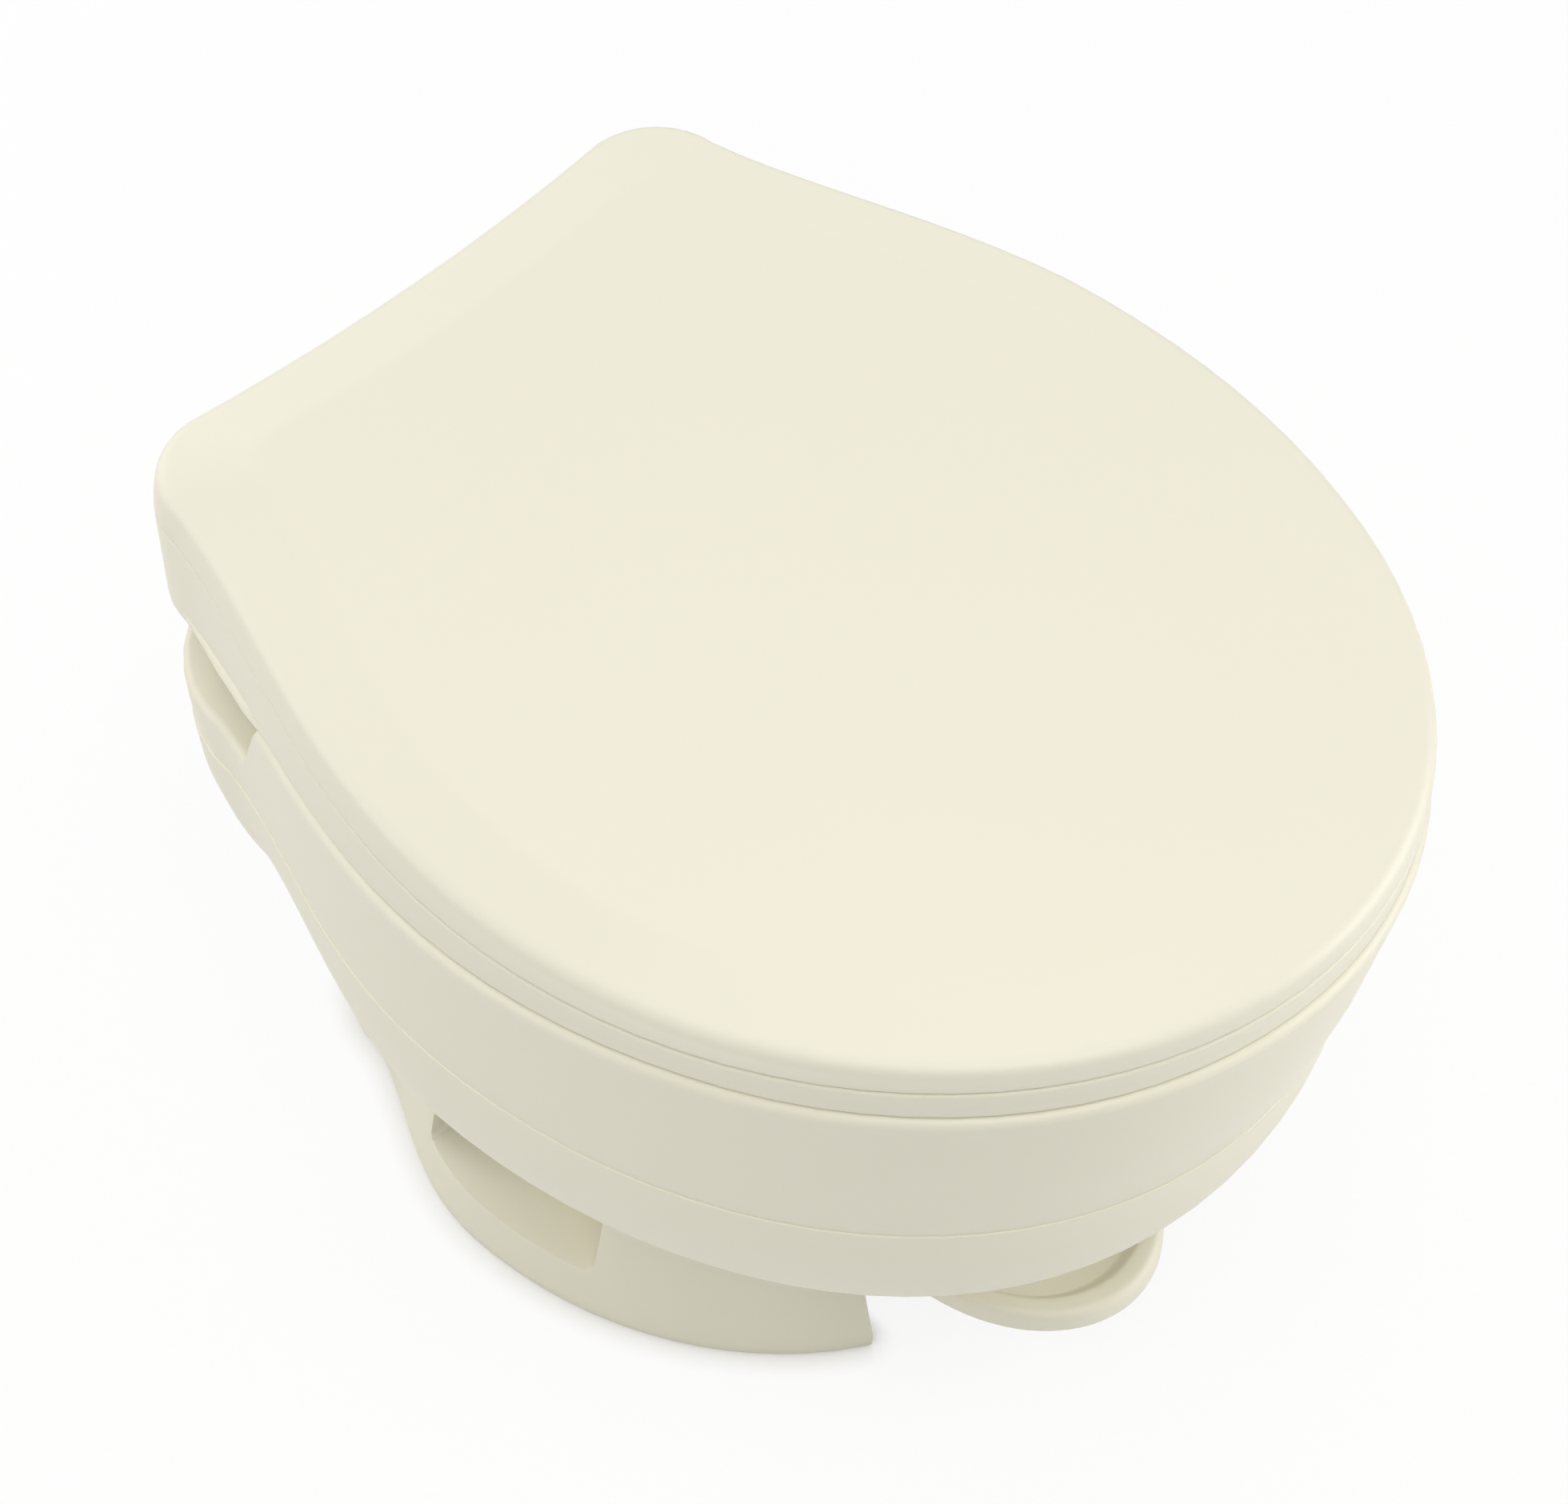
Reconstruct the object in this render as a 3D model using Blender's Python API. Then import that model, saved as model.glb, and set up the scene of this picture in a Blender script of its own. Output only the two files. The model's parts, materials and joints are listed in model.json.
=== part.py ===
"""Low-profile toilet with a foot pedal for a recreational vehicle.

The model is an assembly in metres, +Z up.  The origin lies on the floor under the middle of the
toilet, the front points to -Y and the hinges lie at +Y.
"""
import math
from collections import namedtuple

import bpy
import bmesh
from mathutils import Matrix, Vector

Plan = namedtuple("Plan", "half_width front centre rear rear_half_width corner")

# Fits and gaps
GAP = 0.0003
OVERRUN = 0.030
ROUND_SEGMENTS = 20
SMALL_SEGMENTS = 12

# Overall size, up to the lid's panel
HALF_WIDTH = 0.195
HALF_LENGTH = 0.2425
PANEL_HEIGHT = 0.3465

# Heights, each from the one above or below it
LID_DROP = 0.0245
PARTING_HEIGHT = PANEL_HEIGHT - LID_DROP
HINGE_DROP = 0.022
HINGE_Z = PARTING_HEIGHT - HINGE_DROP
DECK_DROP = 0.055
DECK_HEIGHT = HINGE_Z - DECK_DROP
CREASE_DROP = 0.023
CREASE_HEIGHT = DECK_HEIGHT - CREASE_DROP
BAND_SWELL_RISE = 0.020
BAND_SWELL_HEIGHT = DECK_HEIGHT + BAND_SWELL_RISE
BALL_Z = 0.090
WAIST_RISE = 0.0135
WAIST_HEIGHT = BALL_Z + WAIST_RISE
BELLY_RISE = 0.0265
BELLY_HEIGHT = WAIST_HEIGHT + BELLY_RISE

# Plans, in shares of the half width, the half length and, for the corner, the half width
TOP_SHARES = (1.0, 1.0, 0.0, 1.0, 0.7538, 0.1846)
PANEL_SHARES = (0.8256, 0.8000, 0.0, 0.8454, 0.5744, 0.1128)
SEAT_OPENING_SHARES = (0.6154, 0.6804, 0.0, 0.4330, 0.6051, 0.4359)
BOWL_OPENING_SHARES = (0.7077, 0.7670, 0.0, 0.4495, 0.6974, 0.4359)
CREASE_SHARES = (0.9872, 0.9072, 0.0825, 0.9897, 0.7897, 0.3692)
BELLY_PLAN_SHARES = (0.8769, 0.7711, 0.2062, 0.9155, 0.6923, 0.3077)
WAIST_SHARES = (0.6769, 0.3505, 0.2474, 0.8041, 0.5128, 0.2308)
BASE_SHARES = (0.7410, 0.4454, 0.2474, 0.8454, 0.5538, 0.2308)
REAR_HOLLOW = 0.006
FRONT_STEPS = 8
SIDE_STEPS = 5
CORNER_STEPS = 3
REAR_STEPS = 2
FIRST_HANDLE_SHARE = 0.42
SECOND_HANDLE_SHARE = 0.70
HANDLE_WIDTH_SHARE = 0.26

# The line where the lid meets the seat rises to the front
PARTING_RISE = 0.0214
PARTING_RISE_START = HALF_LENGTH * 0.1237
PARTING_CURVE_SHARE = 1.55
PARTING_GAP = 0.0016

# Lid
LID_WALL_FRONT = 0.0135
LID_WALL_REAR = 0.0195
LID_WALL_RAMP_START = HALF_LENGTH * 0.4124
LID_EDGE_BREAK = 0.0012
LID_ROUNDING = 0.005
LID_ROUNDING_STEPS = 3
LID_THICKNESS = 0.004
PANEL_BLEND_SHARE = 0.08

# Seat ring
SEAT_THICKNESS = 0.015
SEAT_BLOCK_DEPTH = 0.041
SEAT_BLOCK_START = -HALF_LENGTH * 0.4124
SEAT_BLOCK_CURVE_SHARE = 1.55
SEAT_ROUNDING = 0.003
SEAT_RIM_GAP = 0.003
SEAT_FOOT_STEPS = 5

# Well of the bowl, and the slope behind it down to the hinge deck
WELL_REAR = HALF_LENGTH * 0.5155
WELL_REAR_HALF_WIDTH = HALF_WIDTH * 0.7795
WELL_CORNER = 0.022
NOTCH_TOP_SETBACK = 0.007
NOTCH_TOP_Y = WELL_REAR + NOTCH_TOP_SETBACK
NOTCH_FOOT_SETBACK = 0.022
NOTCH_FOOT_Y = WELL_REAR + NOTCH_FOOT_SETBACK

# Hinge of the seat and the lid
HINGE_REAR_MARGIN = 0.0175
HINGE_Y = HALF_LENGTH - HINGE_REAR_MARGIN
HINGE_BAY_SETBACK = 0.021
HINGE_BAY_FRONT = WELL_REAR + HINGE_BAY_SETBACK
HINGE_BAY_ROOF_DEPTH = 0.008
HINGE_BAY_TOP = PARTING_HEIGHT - HINGE_BAY_ROOF_DEPTH
HINGE_KNUCKLE_RADIUS = 0.0222
HINGE_PIN_RADIUS = 0.004
BRACKET_INNER_X = HALF_WIDTH * 0.3179
BRACKET_WIDTH = 0.020
LUG_SIDE_GAP = 0.0035
LUG_INNER_X = BRACKET_INNER_X + BRACKET_WIDTH + LUG_SIDE_GAP
LUG_WIDTH = 0.013
BAY_SIDE_GAP = 0.0095
HINGE_BAY_HALF_WIDTH = LUG_INNER_X + LUG_WIDTH + BAY_SIDE_GAP
HINGE_PIN_OVERHANG = 0.0015
HINGE_PIN_INNER_X = BRACKET_INNER_X - HINGE_PIN_OVERHANG
HINGE_PIN_GRIP = 0.0195
HINGE_PIN_OUTER_X = HINGE_BAY_HALF_WIDTH + HINGE_PIN_GRIP
BRACKET_LEG_SETBACK = 0.025
BRACKET_LEG_FRONT = WELL_REAR + BRACKET_LEG_SETBACK
BRACKET_LEG_DEPTH = 0.016
BRACKET_ARM_HALF_HEIGHT = 0.0085
BRACKET_BOSS_RADIUS = 0.0105
BRACKET_FOOT_LENGTH = 0.040
BRACKET_FOOT_HEIGHT = 0.006
LUG_RADIUS = 0.009
LUG_SLOT_SIDE_GAP = 0.002
LUG_SLOT_DEPTH = 0.016
HINGE_BOLT_RADIUS = 0.004
HINGE_BOLT_HEAD_RADIUS = 0.008
HINGE_BOLT_HEAD_HEIGHT = 0.004
HINGE_BOLT_BEHIND_LEG = 0.012
HINGE_BOLT_LENGTH = 0.030
WING_NUT_RADIUS = 0.008
WING_NUT_HEIGHT = 0.007
WING_LENGTH = 0.017
WING_THICKNESS = 0.0025
WING_RISE = 0.006

# Bumpers
LID_BUMPER_RADIUS = 0.006
LID_BUMPER_X = HALF_WIDTH * 0.6667
LID_BUMPER_Y = -HALF_LENGTH * 0.2474
SEAT_BUMPER_RADIUS = 0.006
SEAT_BUMPER_X = HALF_WIDTH * 0.8205
SEAT_BUMPER_FRONT_Y = -HALF_LENGTH * 0.1649
SEAT_BUMPER_REAR_Y = HALF_LENGTH * 0.2062

# Outer body
RIM_ROUNDING = 0.0045
RIM_LIP = 0.012
RIM_STEP_DEPTH = 0.0045
RIM_STEP_WIDTH = 0.006
RIM_STEP_HEIGHT = 0.008
RIM_STEPS = 5
BODY_THICKNESS = 0.005
BAND_SWELL_SHARE = 0.54
BELLY_SHARES = ((0.0, 0.0), (0.35, 0.16), (0.70, 0.50), (1.0, 1.0))
UNDER_SHARES = ((0.30, 0.50), (0.65, 0.83), (1.0, 1.0))
DECK_THICKNESS = 0.0045

# Bowl liner
LINER_THICKNESS = 0.004
FLANGE_THICKNESS = 0.004
BOWL_SHARES = ((0.0, 1.0), (0.015, 0.90), (0.09, 0.68), (0.24, 0.45), (0.46, 0.24), (0.75, 0.08),
               (1.0, 0.0))

# Pedestal base
BASE_THICKNESS = 0.005
BASE_KERB_HEIGHT = 0.006
BASE_FLOOR_THICKNESS = 0.014
WINDOW_FRONT = -HALF_LENGTH * 0.0124
WINDOW_REAR = HALF_LENGTH * 0.4124
WINDOW_FOOT = 0.030
WINDOW_TOP_DROP = 0.0175
WINDOW_TOP = WAIST_HEIGHT - WINDOW_TOP_DROP
WINDOW_CORNER = 0.010
WINDOW_CORNER_STEPS = 4
WINDOW_POCKET_X = HALF_WIDTH * 0.5846
WINDOW_WALL = 0.004
WINDOW_HOLE_LENGTH = 0.018
WINDOW_HOLE_MARGIN = 0.004
PEDAL_MOUTH_HALF_WIDTH = 0.0575
PEDAL_MOUTH_HEADROOM = 0.028
PEDAL_MOUTH_DEPTH = 0.030

# Drain, waste ball and the ball's housing
DRAIN_Y = HALF_LENGTH * 0.2474
BALL_RADIUS = 0.050
BALL_THICKNESS = 0.004
BALL_CAP_HEIGHT = BALL_RADIUS * 0.62
BALL_ARM_HALF_WIDTH = 0.011
BALL_SEGMENTS = 24
BALL_RINGS = 14
BALL_SHAFT_RADIUS = 0.005
HOUSING_SEGMENTS = 32
HOUSING_INNER_RADIUS = BALL_RADIUS * 1.08
HOUSING_THICKNESS = 0.004
HOUSING_RADIUS = HOUSING_INNER_RADIUS + HOUSING_THICKNESS
HOUSING_TOP = BALL_Z + BALL_RADIUS * 0.82
HOUSING_DOME_DEPTH = BALL_RADIUS * 0.42
HOUSING_LIP_DEPTH = BALL_RADIUS * 0.14
HOUSING_MOUTH_RADIUS = BALL_RADIUS * 0.85
BALL_SHAFT_INNER_X = BALL_RADIUS * 0.89
BALL_SHAFT_OVERHANG = 0.020
BALL_SHAFT_OUTER_X = HOUSING_RADIUS + BALL_SHAFT_OVERHANG
BEARING_RADIUS = 0.008
BEARING_INNER_OVERHANG = 0.001
BEARING_INNER_X = HOUSING_INNER_RADIUS - BEARING_INNER_OVERHANG
BEARING_OUTER_OVERHANG = 0.0025
BEARING_OUTER_X = HOUSING_RADIUS + BEARING_OUTER_OVERHANG
SEAL_INNER_RADIUS = BALL_RADIUS * 0.70
SEAL_OUTER_RADIUS = BALL_RADIUS * 0.83
SEAL_HEIGHT = BALL_RADIUS * 0.098
THROAT_RADIUS = BALL_RADIUS * 0.68
RETAINER_HEIGHT = 0.0075
THROAT_FOOT = HOUSING_TOP + RETAINER_HEIGHT
THROAT_LENGTH = 0.0115
THROAT_TOP = THROAT_FOOT + THROAT_LENGTH
OUTLET_RADIUS = BALL_RADIUS * 0.76
SEAL_RECESS_MARGIN = 0.002
SEAL_RECESS_RADIUS = HOUSING_RADIUS + SEAL_RECESS_MARGIN
SEAL_RECESS_HEIGHT = 0.008
FLOOR_SEAL_INNER_RADIUS = BALL_RADIUS * 0.81

# Bolts that hold the base to the floor flange
CLOSET_BOLT_CLEARANCE = 0.0145
CLOSET_BOLT_X = HOUSING_RADIUS + CLOSET_BOLT_CLEARANCE
CLOSET_BOLT_RADIUS = 0.003
CLOSET_BOLT_LENGTH = 0.034
CLOSET_HEAD_RADIUS = 0.006
CLOSET_HEAD_HEIGHT = 0.0025
CLOSET_WASHER_RADIUS = 0.0085
CLOSET_WASHER_HEIGHT = 0.0015
CLOSET_NUT_RADIUS = 0.0065
CLOSET_NUT_HEIGHT = 0.005

# Place of the gear beside the ball's housing
GEAR_CLEARANCE = 0.0055
GEAR_INNER_X = HOUSING_RADIUS + GEAR_CLEARANCE
GEAR_THICKNESS = 0.0065

# Foot pedal
PEDAL_BALL_DISTANCE = 0.090
PEDAL_Y = DRAIN_Y - PEDAL_BALL_DISTANCE
PEDAL_Z = 0.050
PEDAL_ARM_LENGTH = 0.070
PEDAL_DISH_REAR = PEDAL_Y - PEDAL_ARM_LENGTH
PEDAL_DISH_LENGTH = 0.0753
PEDAL_TIP = PEDAL_DISH_REAR - PEDAL_DISH_LENGTH
PEDAL_HALF_WIDTH = 0.0575
PEDAL_STEPS = 16
PEDAL_UNDERSIDE = 0.0455
PEDAL_RIM_TOP = 0.060
PEDAL_RIM_WIDTH = 0.0075
PEDAL_EDGE = 0.003
PEDAL_DISH_FLOOR = 0.0545
TONGUE_HALF_WIDTH = 0.045
TONGUE_FOOT = 0.0425
TONGUE_TOP = 0.0535
TONGUE_OVERLAP = 0.004
HUB_RADIUS = 0.011
HUB_HALF_LENGTH = 0.048
PEDAL_SHAFT_RADIUS = 0.005
RIB_CLEARANCE = 0.008
RIB_INNER_X = GEAR_INNER_X + GEAR_THICKNESS + RIB_CLEARANCE
RIB_THICKNESS = 0.008
PEDAL_SHAFT_OVERHANG = 0.0025
PEDAL_SHAFT_HALF_LENGTH = RIB_INNER_X + RIB_THICKNESS + PEDAL_SHAFT_OVERHANG
RIB_HALF_LENGTH = 0.015
RIB_ABOVE_SHAFT = 0.014
BUSHING_RADIUS = 0.0075
BUSHING_OVERHANG = 0.001
SPRING_TURNS = 6
SPRING_POINTS = 10
SPRING_WIRE_RADIUS = 0.0008
SPRING_CLEARANCE = 0.0006

# Gear that turns the ball five times as far as the pedal
PINION_TEETH = 12
SECTOR_TEETH = 60
SECTOR_TEETH_MADE = 6
SECTOR_FIRST_TOOTH = -4
TOOTH_WIDTH_SHARE = 0.36
TOOTH_TOP_SHARE = 0.80
TOOTH_ROOT_SHARE = 1.05
TOOTH_SLOPE = math.radians(20)
SECTOR_HUB_RADIUS = 0.012

# Water valve with its cam and plunger, on the -X side
VALVE_CLEARANCE = 0.0135
VALVE_X = -HOUSING_RADIUS - VALVE_CLEARANCE
VALVE_SETBACK = 0.018
VALVE_FRONT = DRAIN_Y + VALVE_SETBACK
VALVE_LENGTH = 0.047
VALVE_REAR = VALVE_FRONT + VALVE_LENGTH
VALVE_HALF_WIDTH = 0.009
VALVE_HALF_HEIGHT = 0.012
CAM_RADIUS = 0.0095
CAM_REACH = 0.0138
CAM_TIP_HALF_WIDTH = 0.003
CAM_HALF_THICKNESS = 0.004
PLUNGER_RADIUS = 0.003
PLUNGER_CLEARANCE = 0.0015
PLUNGER_BUTTON_RADIUS = 0.0045
PLUNGER_BUTTON_HEIGHT = 0.0025
PLUNGER_LENGTH = 0.038
PLUNGER_STROKE = 0.0042
INLET_RADIUS = 0.0075
INLET_BORE_RADIUS = 0.0045
INLET_REAR = HALF_LENGTH * 0.9567
INLET_COLLAR_RADIUS = 0.0112
INLET_COLLAR_GAP = 0.0015
INLET_COLLAR_LENGTH = 0.006

# Vacuum breaker, its hoses and the rinse nozzle
BREAKER_X = -0.035
BREAKER_Y = HALF_LENGTH * 0.6804
BREAKER_DROP = 0.040
BREAKER_TOP = DECK_HEIGHT - BREAKER_DROP
BREAKER_HEIGHT = 0.055
BREAKER_FOOT = BREAKER_TOP - BREAKER_HEIGHT
BREAKER_RADIUS = 0.013
BREAKER_BORE_RADIUS = 0.0095
BREAKER_FLOOR_THICKNESS = 0.020
BREAKER_BORE_FOOT = BREAKER_FOOT + BREAKER_FLOOR_THICKNESS
BREAKER_CAP_RADIUS = 0.0145
FLOAT_CLEARANCE = 0.0006
FLOAT_HEIGHT = 0.005
HOSE_RADIUS = 0.005
HOSE_LEAD = 0.012
HOSE_POINTS = 12
BREAKER_PORT_DROP = 0.015
NOZZLE_DROP = 0.023
NOZZLE_Z = DECK_HEIGHT - NOZZLE_DROP
NOZZLE_OVERHANG = 0.013
NOZZLE_LENGTH = 0.0325
NOZZLE_RADIUS = 0.006
NOZZLE_BORE_RADIUS = 0.0035


def material(name, colour, roughness, metallic=0.0):
    """Return a Principled material."""
    finish = bpy.data.materials.new(name)
    finish.use_nodes = True
    shader = finish.node_tree.nodes["Principled BSDF"]
    shader.inputs["Base Color"].default_value = (*colour, 1.0)
    shader.inputs["Roughness"].default_value = roughness
    shader.inputs["Metallic"].default_value = metallic
    finish.diffuse_color = (*colour, 1.0)
    return finish


def finish_mesh(name, bm):
    """Turn a closed bmesh into an object whose faces point out."""
    bmesh.ops.recalc_face_normals(bm, faces=bm.faces)
    if bm.calc_volume(signed=True) < 0:
        bmesh.ops.reverse_faces(bm, faces=bm.faces)
    mesh = bpy.data.meshes.new(name)
    bm.to_mesh(mesh)
    bm.free()
    mesh.shade_smooth()
    mesh.set_sharp_from_angle(angle=math.radians(35))
    thing = bpy.data.objects.new(name, mesh)
    bpy.context.collection.objects.link(thing)
    return thing


def loft(name, rings, closed=False):
    """Skin a row of rings, capped at both ends or closed on itself."""
    bm = bmesh.new()
    rows = [[bm.verts.new(point) for point in ring] for ring in rings]
    pairs = list(zip(rows, rows[1:]))
    if closed:
        pairs.append((rows[-1], rows[0]))
    else:
        bm.faces.new(rows[0])
        bm.faces.new(rows[-1])
    for low, high in pairs:
        for place in range(len(low)):
            after = (place + 1) % len(low)
            bm.faces.new((low[place], low[after], high[after], high[place]))
    return finish_mesh(name, bm)


def block(name, x_range, y_range, z_range):
    """Return a box between three pairs of limits."""
    rings = []
    for z in z_range:
        rings.append([(x_range[0], y_range[0], z), (x_range[1], y_range[0], z),
                      (x_range[1], y_range[1], z), (x_range[0], y_range[1], z)])
    return loft(name, rings)


def circle(radius, along, centre, axis, segments):
    """Return a ring of points round a line through the centre along one axis."""
    points = []
    for step in range(segments):
        turn = 2 * math.pi * step / segments
        across = radius * math.cos(turn)
        up = radius * math.sin(turn)
        offset = {"X": (along, across, up), "Y": (across, along, up), "Z": (across, up, along)}[axis]
        points.append(tuple(a + b for a, b in zip(centre, offset)))
    return points


def turned(name, profile, centre, axis, segments=ROUND_SEGMENTS, closed=False):
    """Turn a profile of (radius, place along the axis) round the axis."""
    return loft(name, [circle(radius, along, centre, axis, segments) for radius, along in profile], closed)


def rod(name, radius, x_range, y, z, segments=ROUND_SEGMENTS):
    """Return a round bar along X."""
    return turned(name, [(radius, x_range[0]), (radius, x_range[1])], (0.0, y, z), "X", segments)


def sleeve(name, inner, outer, span, centre, axis, segments=ROUND_SEGMENTS):
    """Return a round tube along one axis."""
    profile = [(inner, span[0]), (outer, span[0]), (outer, span[1]), (inner, span[1])]
    return turned(name, profile, centre, axis, segments, closed=True)


def side_plate(name, outline_points, x_range):
    """Extrude an outline of (y, z) points along X."""
    return loft(name, [[(x, y, z) for y, z in outline_points] for x in x_range])


def side_range(side, inner, outer):
    """Limits along X of a piece that lies between two distances on one side."""
    return sorted((side * inner, side * outer))


def side_name(side):
    """Word for a side, as seen by someone who faces the toilet."""
    return "right" if side > 0 else "left"


def combine(target, other, operation="DIFFERENCE"):
    """Cut, join or clip the target with another closed object."""
    other.hide_render = True
    other.display_type = "WIRE"
    modifier = target.modifiers.new(other.name, "BOOLEAN")
    modifier.operation = operation
    modifier.object = other
    modifier.solver = "EXACT"


def pivot(name, place):
    """Return an empty on a joint's axis."""
    empty = bpy.data.objects.new(name, None)
    empty.location = place
    bpy.context.collection.objects.link(empty)
    return empty


def hang(things, empty):
    """Give things the empty as parent, with their origins on its axis."""
    for thing in things:
        thing.data.transform(Matrix.Translation(-Vector(empty.location)))
        thing.parent = empty


def paint(things, finish):
    """Put one material on several objects."""
    for thing in things:
        thing.data.materials.clear()
        thing.data.materials.append(finish)


def mix(start, end, share):
    """Return the value a share of the way from start to end."""
    return start + (end - start) * share


def blend(first, second, share):
    """Return the plan a share of the way from one plan to another."""
    return Plan(*(mix(a, b, share) for a, b in zip(first, second)))


def inset(plan, depth):
    """Return the plan drawn in by a depth all round."""
    corner = max(plan.corner - depth, plan.corner / 4)
    return Plan(plan.half_width - depth, plan.front - depth, plan.centre, plan.rear - depth,
                plan.rear_half_width - depth, corner)


def plan_from(shares):
    """Return a plan from its shares of the toilet's half width and half length."""
    half_width, front, centre, rear, rear_half_width, corner = shares
    return Plan(HALF_WIDTH * half_width, HALF_LENGTH * front, HALF_LENGTH * centre, HALF_LENGTH * rear,
                HALF_WIDTH * rear_half_width, HALF_WIDTH * corner)


TOP = plan_from(TOP_SHARES)
PANEL = plan_from(PANEL_SHARES)
SEAT_OPENING = plan_from(SEAT_OPENING_SHARES)
BOWL_OPENING = plan_from(BOWL_OPENING_SHARES)
CREASE = plan_from(CREASE_SHARES)
BELLY = plan_from(BELLY_PLAN_SHARES)
WAIST = plan_from(WAIST_SHARES)
BASE = plan_from(BASE_SHARES)


def half_outline(plan, hollow):
    """Return the +X half of a plan, from the front centre to the rear centre."""
    points = []
    for step in range(FRONT_STEPS):
        turn = math.pi / 2 * step / FRONT_STEPS
        reach = plan.front + plan.centre
        points.append((plan.half_width * math.sin(turn), plan.centre - reach * math.cos(turn)))
    run = plan.rear - plan.corner - plan.centre
    narrowing = plan.half_width - plan.rear_half_width
    second_x = plan.rear_half_width + narrowing * HANDLE_WIDTH_SHARE
    handles = ((plan.half_width, plan.centre), (plan.half_width, plan.centre + run * FIRST_HANDLE_SHARE),
               (second_x, plan.centre + run * SECOND_HANDLE_SHARE),
               (plan.rear_half_width, plan.centre + run))
    for step in range(SIDE_STEPS):
        t = step / SIDE_STEPS
        weights = ((1 - t) ** 3, 3 * t * (1 - t) ** 2, 3 * t ** 2 * (1 - t), t ** 3)
        points.append(tuple(sum(w * handle[i] for w, handle in zip(weights, handles)) for i in (0, 1)))
    corner_x = plan.rear_half_width - plan.corner
    for step in range(CORNER_STEPS):
        turn = math.pi / 2 * step / CORNER_STEPS
        points.append((corner_x + plan.corner * math.cos(turn),
                       plan.rear - plan.corner + plan.corner * math.sin(turn)))
    for step in range(REAR_STEPS + 1):
        share = 1 - step / REAR_STEPS
        points.append((corner_x * share, plan.rear - hollow * (1 - share ** 2)))
    return points


def ring(plan, height, hollow=REAR_HOLLOW):
    """Return a closed ring round a plan at a height, or at a height worked out from y."""
    half = half_outline(plan, hollow)
    whole = half + [(-x, y) for x, y in half[-2:0:-1]]
    return [(x, y, height(y) if callable(height) else height) for x, y in whole]


def parting(y):
    """Height of the line between the lid and the seat."""
    share = (PARTING_RISE_START - y) / (PARTING_RISE_START + HALF_LENGTH)
    return PARTING_HEIGHT + PARTING_RISE * max(0.0, min(1.0, share)) ** PARTING_CURVE_SHARE


def lid_crest(y):
    """Height of the top of the lid's wall."""
    share = (y - LID_WALL_RAMP_START) / (HALF_LENGTH - LID_WALL_RAMP_START)
    return parting(y) + mix(LID_WALL_FRONT, LID_WALL_REAR, max(0.0, min(1.0, share)))


def seat_line(y):
    """Height of the line between the seat and the bowl rim."""
    share = (y - SEAT_BLOCK_START) / (HALF_LENGTH - SEAT_BLOCK_START)
    drop = SEAT_BLOCK_DEPTH * max(0.0, min(1.0, share)) ** SEAT_BLOCK_CURVE_SHARE
    return parting(y) - SEAT_THICKNESS - drop


def seat_foot(y):
    """Height of the seat's underside."""
    return seat_line(y) + SEAT_RIM_GAP / 2


def seat_top(y):
    """Height of the seat's upper face."""
    return parting(y) - PARTING_GAP / 2


def rim_top(y):
    """Height of the bowl rim."""
    return seat_line(min(y, NOTCH_TOP_Y)) - SEAT_RIM_GAP / 2


def raised(height, lift):
    """Return a height rule lifted by a constant."""
    return lambda y: height(y) + lift


def lid_shell():
    """Crowned lid: a rounded wall, a sloping margin and a raised flat panel."""
    foot = raised(parting, PARTING_GAP / 2)
    crest_inner = LID_ROUNDING + LID_THICKNESS / 2
    rings = [ring(inset(PANEL, LID_THICKNESS), PANEL_HEIGHT - LID_THICKNESS),
             ring(inset(TOP, crest_inner), raised(lid_crest, -LID_THICKNESS)),
             ring(inset(TOP, LID_THICKNESS), raised(lid_crest, -LID_THICKNESS - LID_ROUNDING / 2)),
             ring(inset(TOP, LID_THICKNESS), foot),
             ring(inset(TOP, LID_EDGE_BREAK), foot),
             ring(TOP, raised(foot, LID_EDGE_BREAK))]
    for step in range(LID_ROUNDING_STEPS + 1):
        turn = math.pi / 2 * step / LID_ROUNDING_STEPS
        depth = LID_ROUNDING * (1 - math.cos(turn))
        rings.append(ring(inset(TOP, depth), raised(lid_crest, -LID_ROUNDING * (1 - math.sin(turn)))))
    panel = ring(PANEL, PANEL_HEIGHT)
    crest = rings[-1]
    shoulder = []
    for inner, outer in zip(panel, crest):
        place = [mix(a, b, PANEL_BLEND_SHARE) for a, b in zip(inner, outer)]
        place[2] = mix(inner[2], outer[2], PANEL_BLEND_SHARE / 2)
        shoulder.append(tuple(place))
    rings += [shoulder, panel]
    return loft("lid", rings)


def lid_lug(side):
    """Lug that hangs from the lid's rear margin to the hinge pin."""
    points = []
    for step in range(SMALL_SEGMENTS // 2 + 1):
        turn = math.pi + math.pi * step / (SMALL_SEGMENTS // 2)
        points.append((HINGE_Y + LUG_RADIUS * math.cos(turn), HINGE_Z + LUG_RADIUS * math.sin(turn)))
    root = lid_crest(HINGE_Y) - LID_THICKNESS / 2
    points += [(HINGE_Y + LUG_RADIUS, root), (HINGE_Y - LUG_RADIUS, root)]
    reach = side_range(side, LUG_INNER_X, LUG_INNER_X + LUG_WIDTH)
    return side_plate(f"lid_lug_{side:+d}", points, reach)


def build_lid():
    """Lid with its two lugs bored for the hinge pins."""
    lid = lid_shell()
    for side in (-1, 1):
        combine(lid, lid_lug(side), "UNION")
    combine(lid, hinge_bore("lid_bore"))
    return lid


def hinge_bore(name):
    """Cutter for the hinge pins, a running fit on both of them."""
    reach = HINGE_PIN_OUTER_X + GAP
    return rod(name, HINGE_PIN_RADIUS + GAP, (-reach, reach), HINGE_Y, HINGE_Z)


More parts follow.
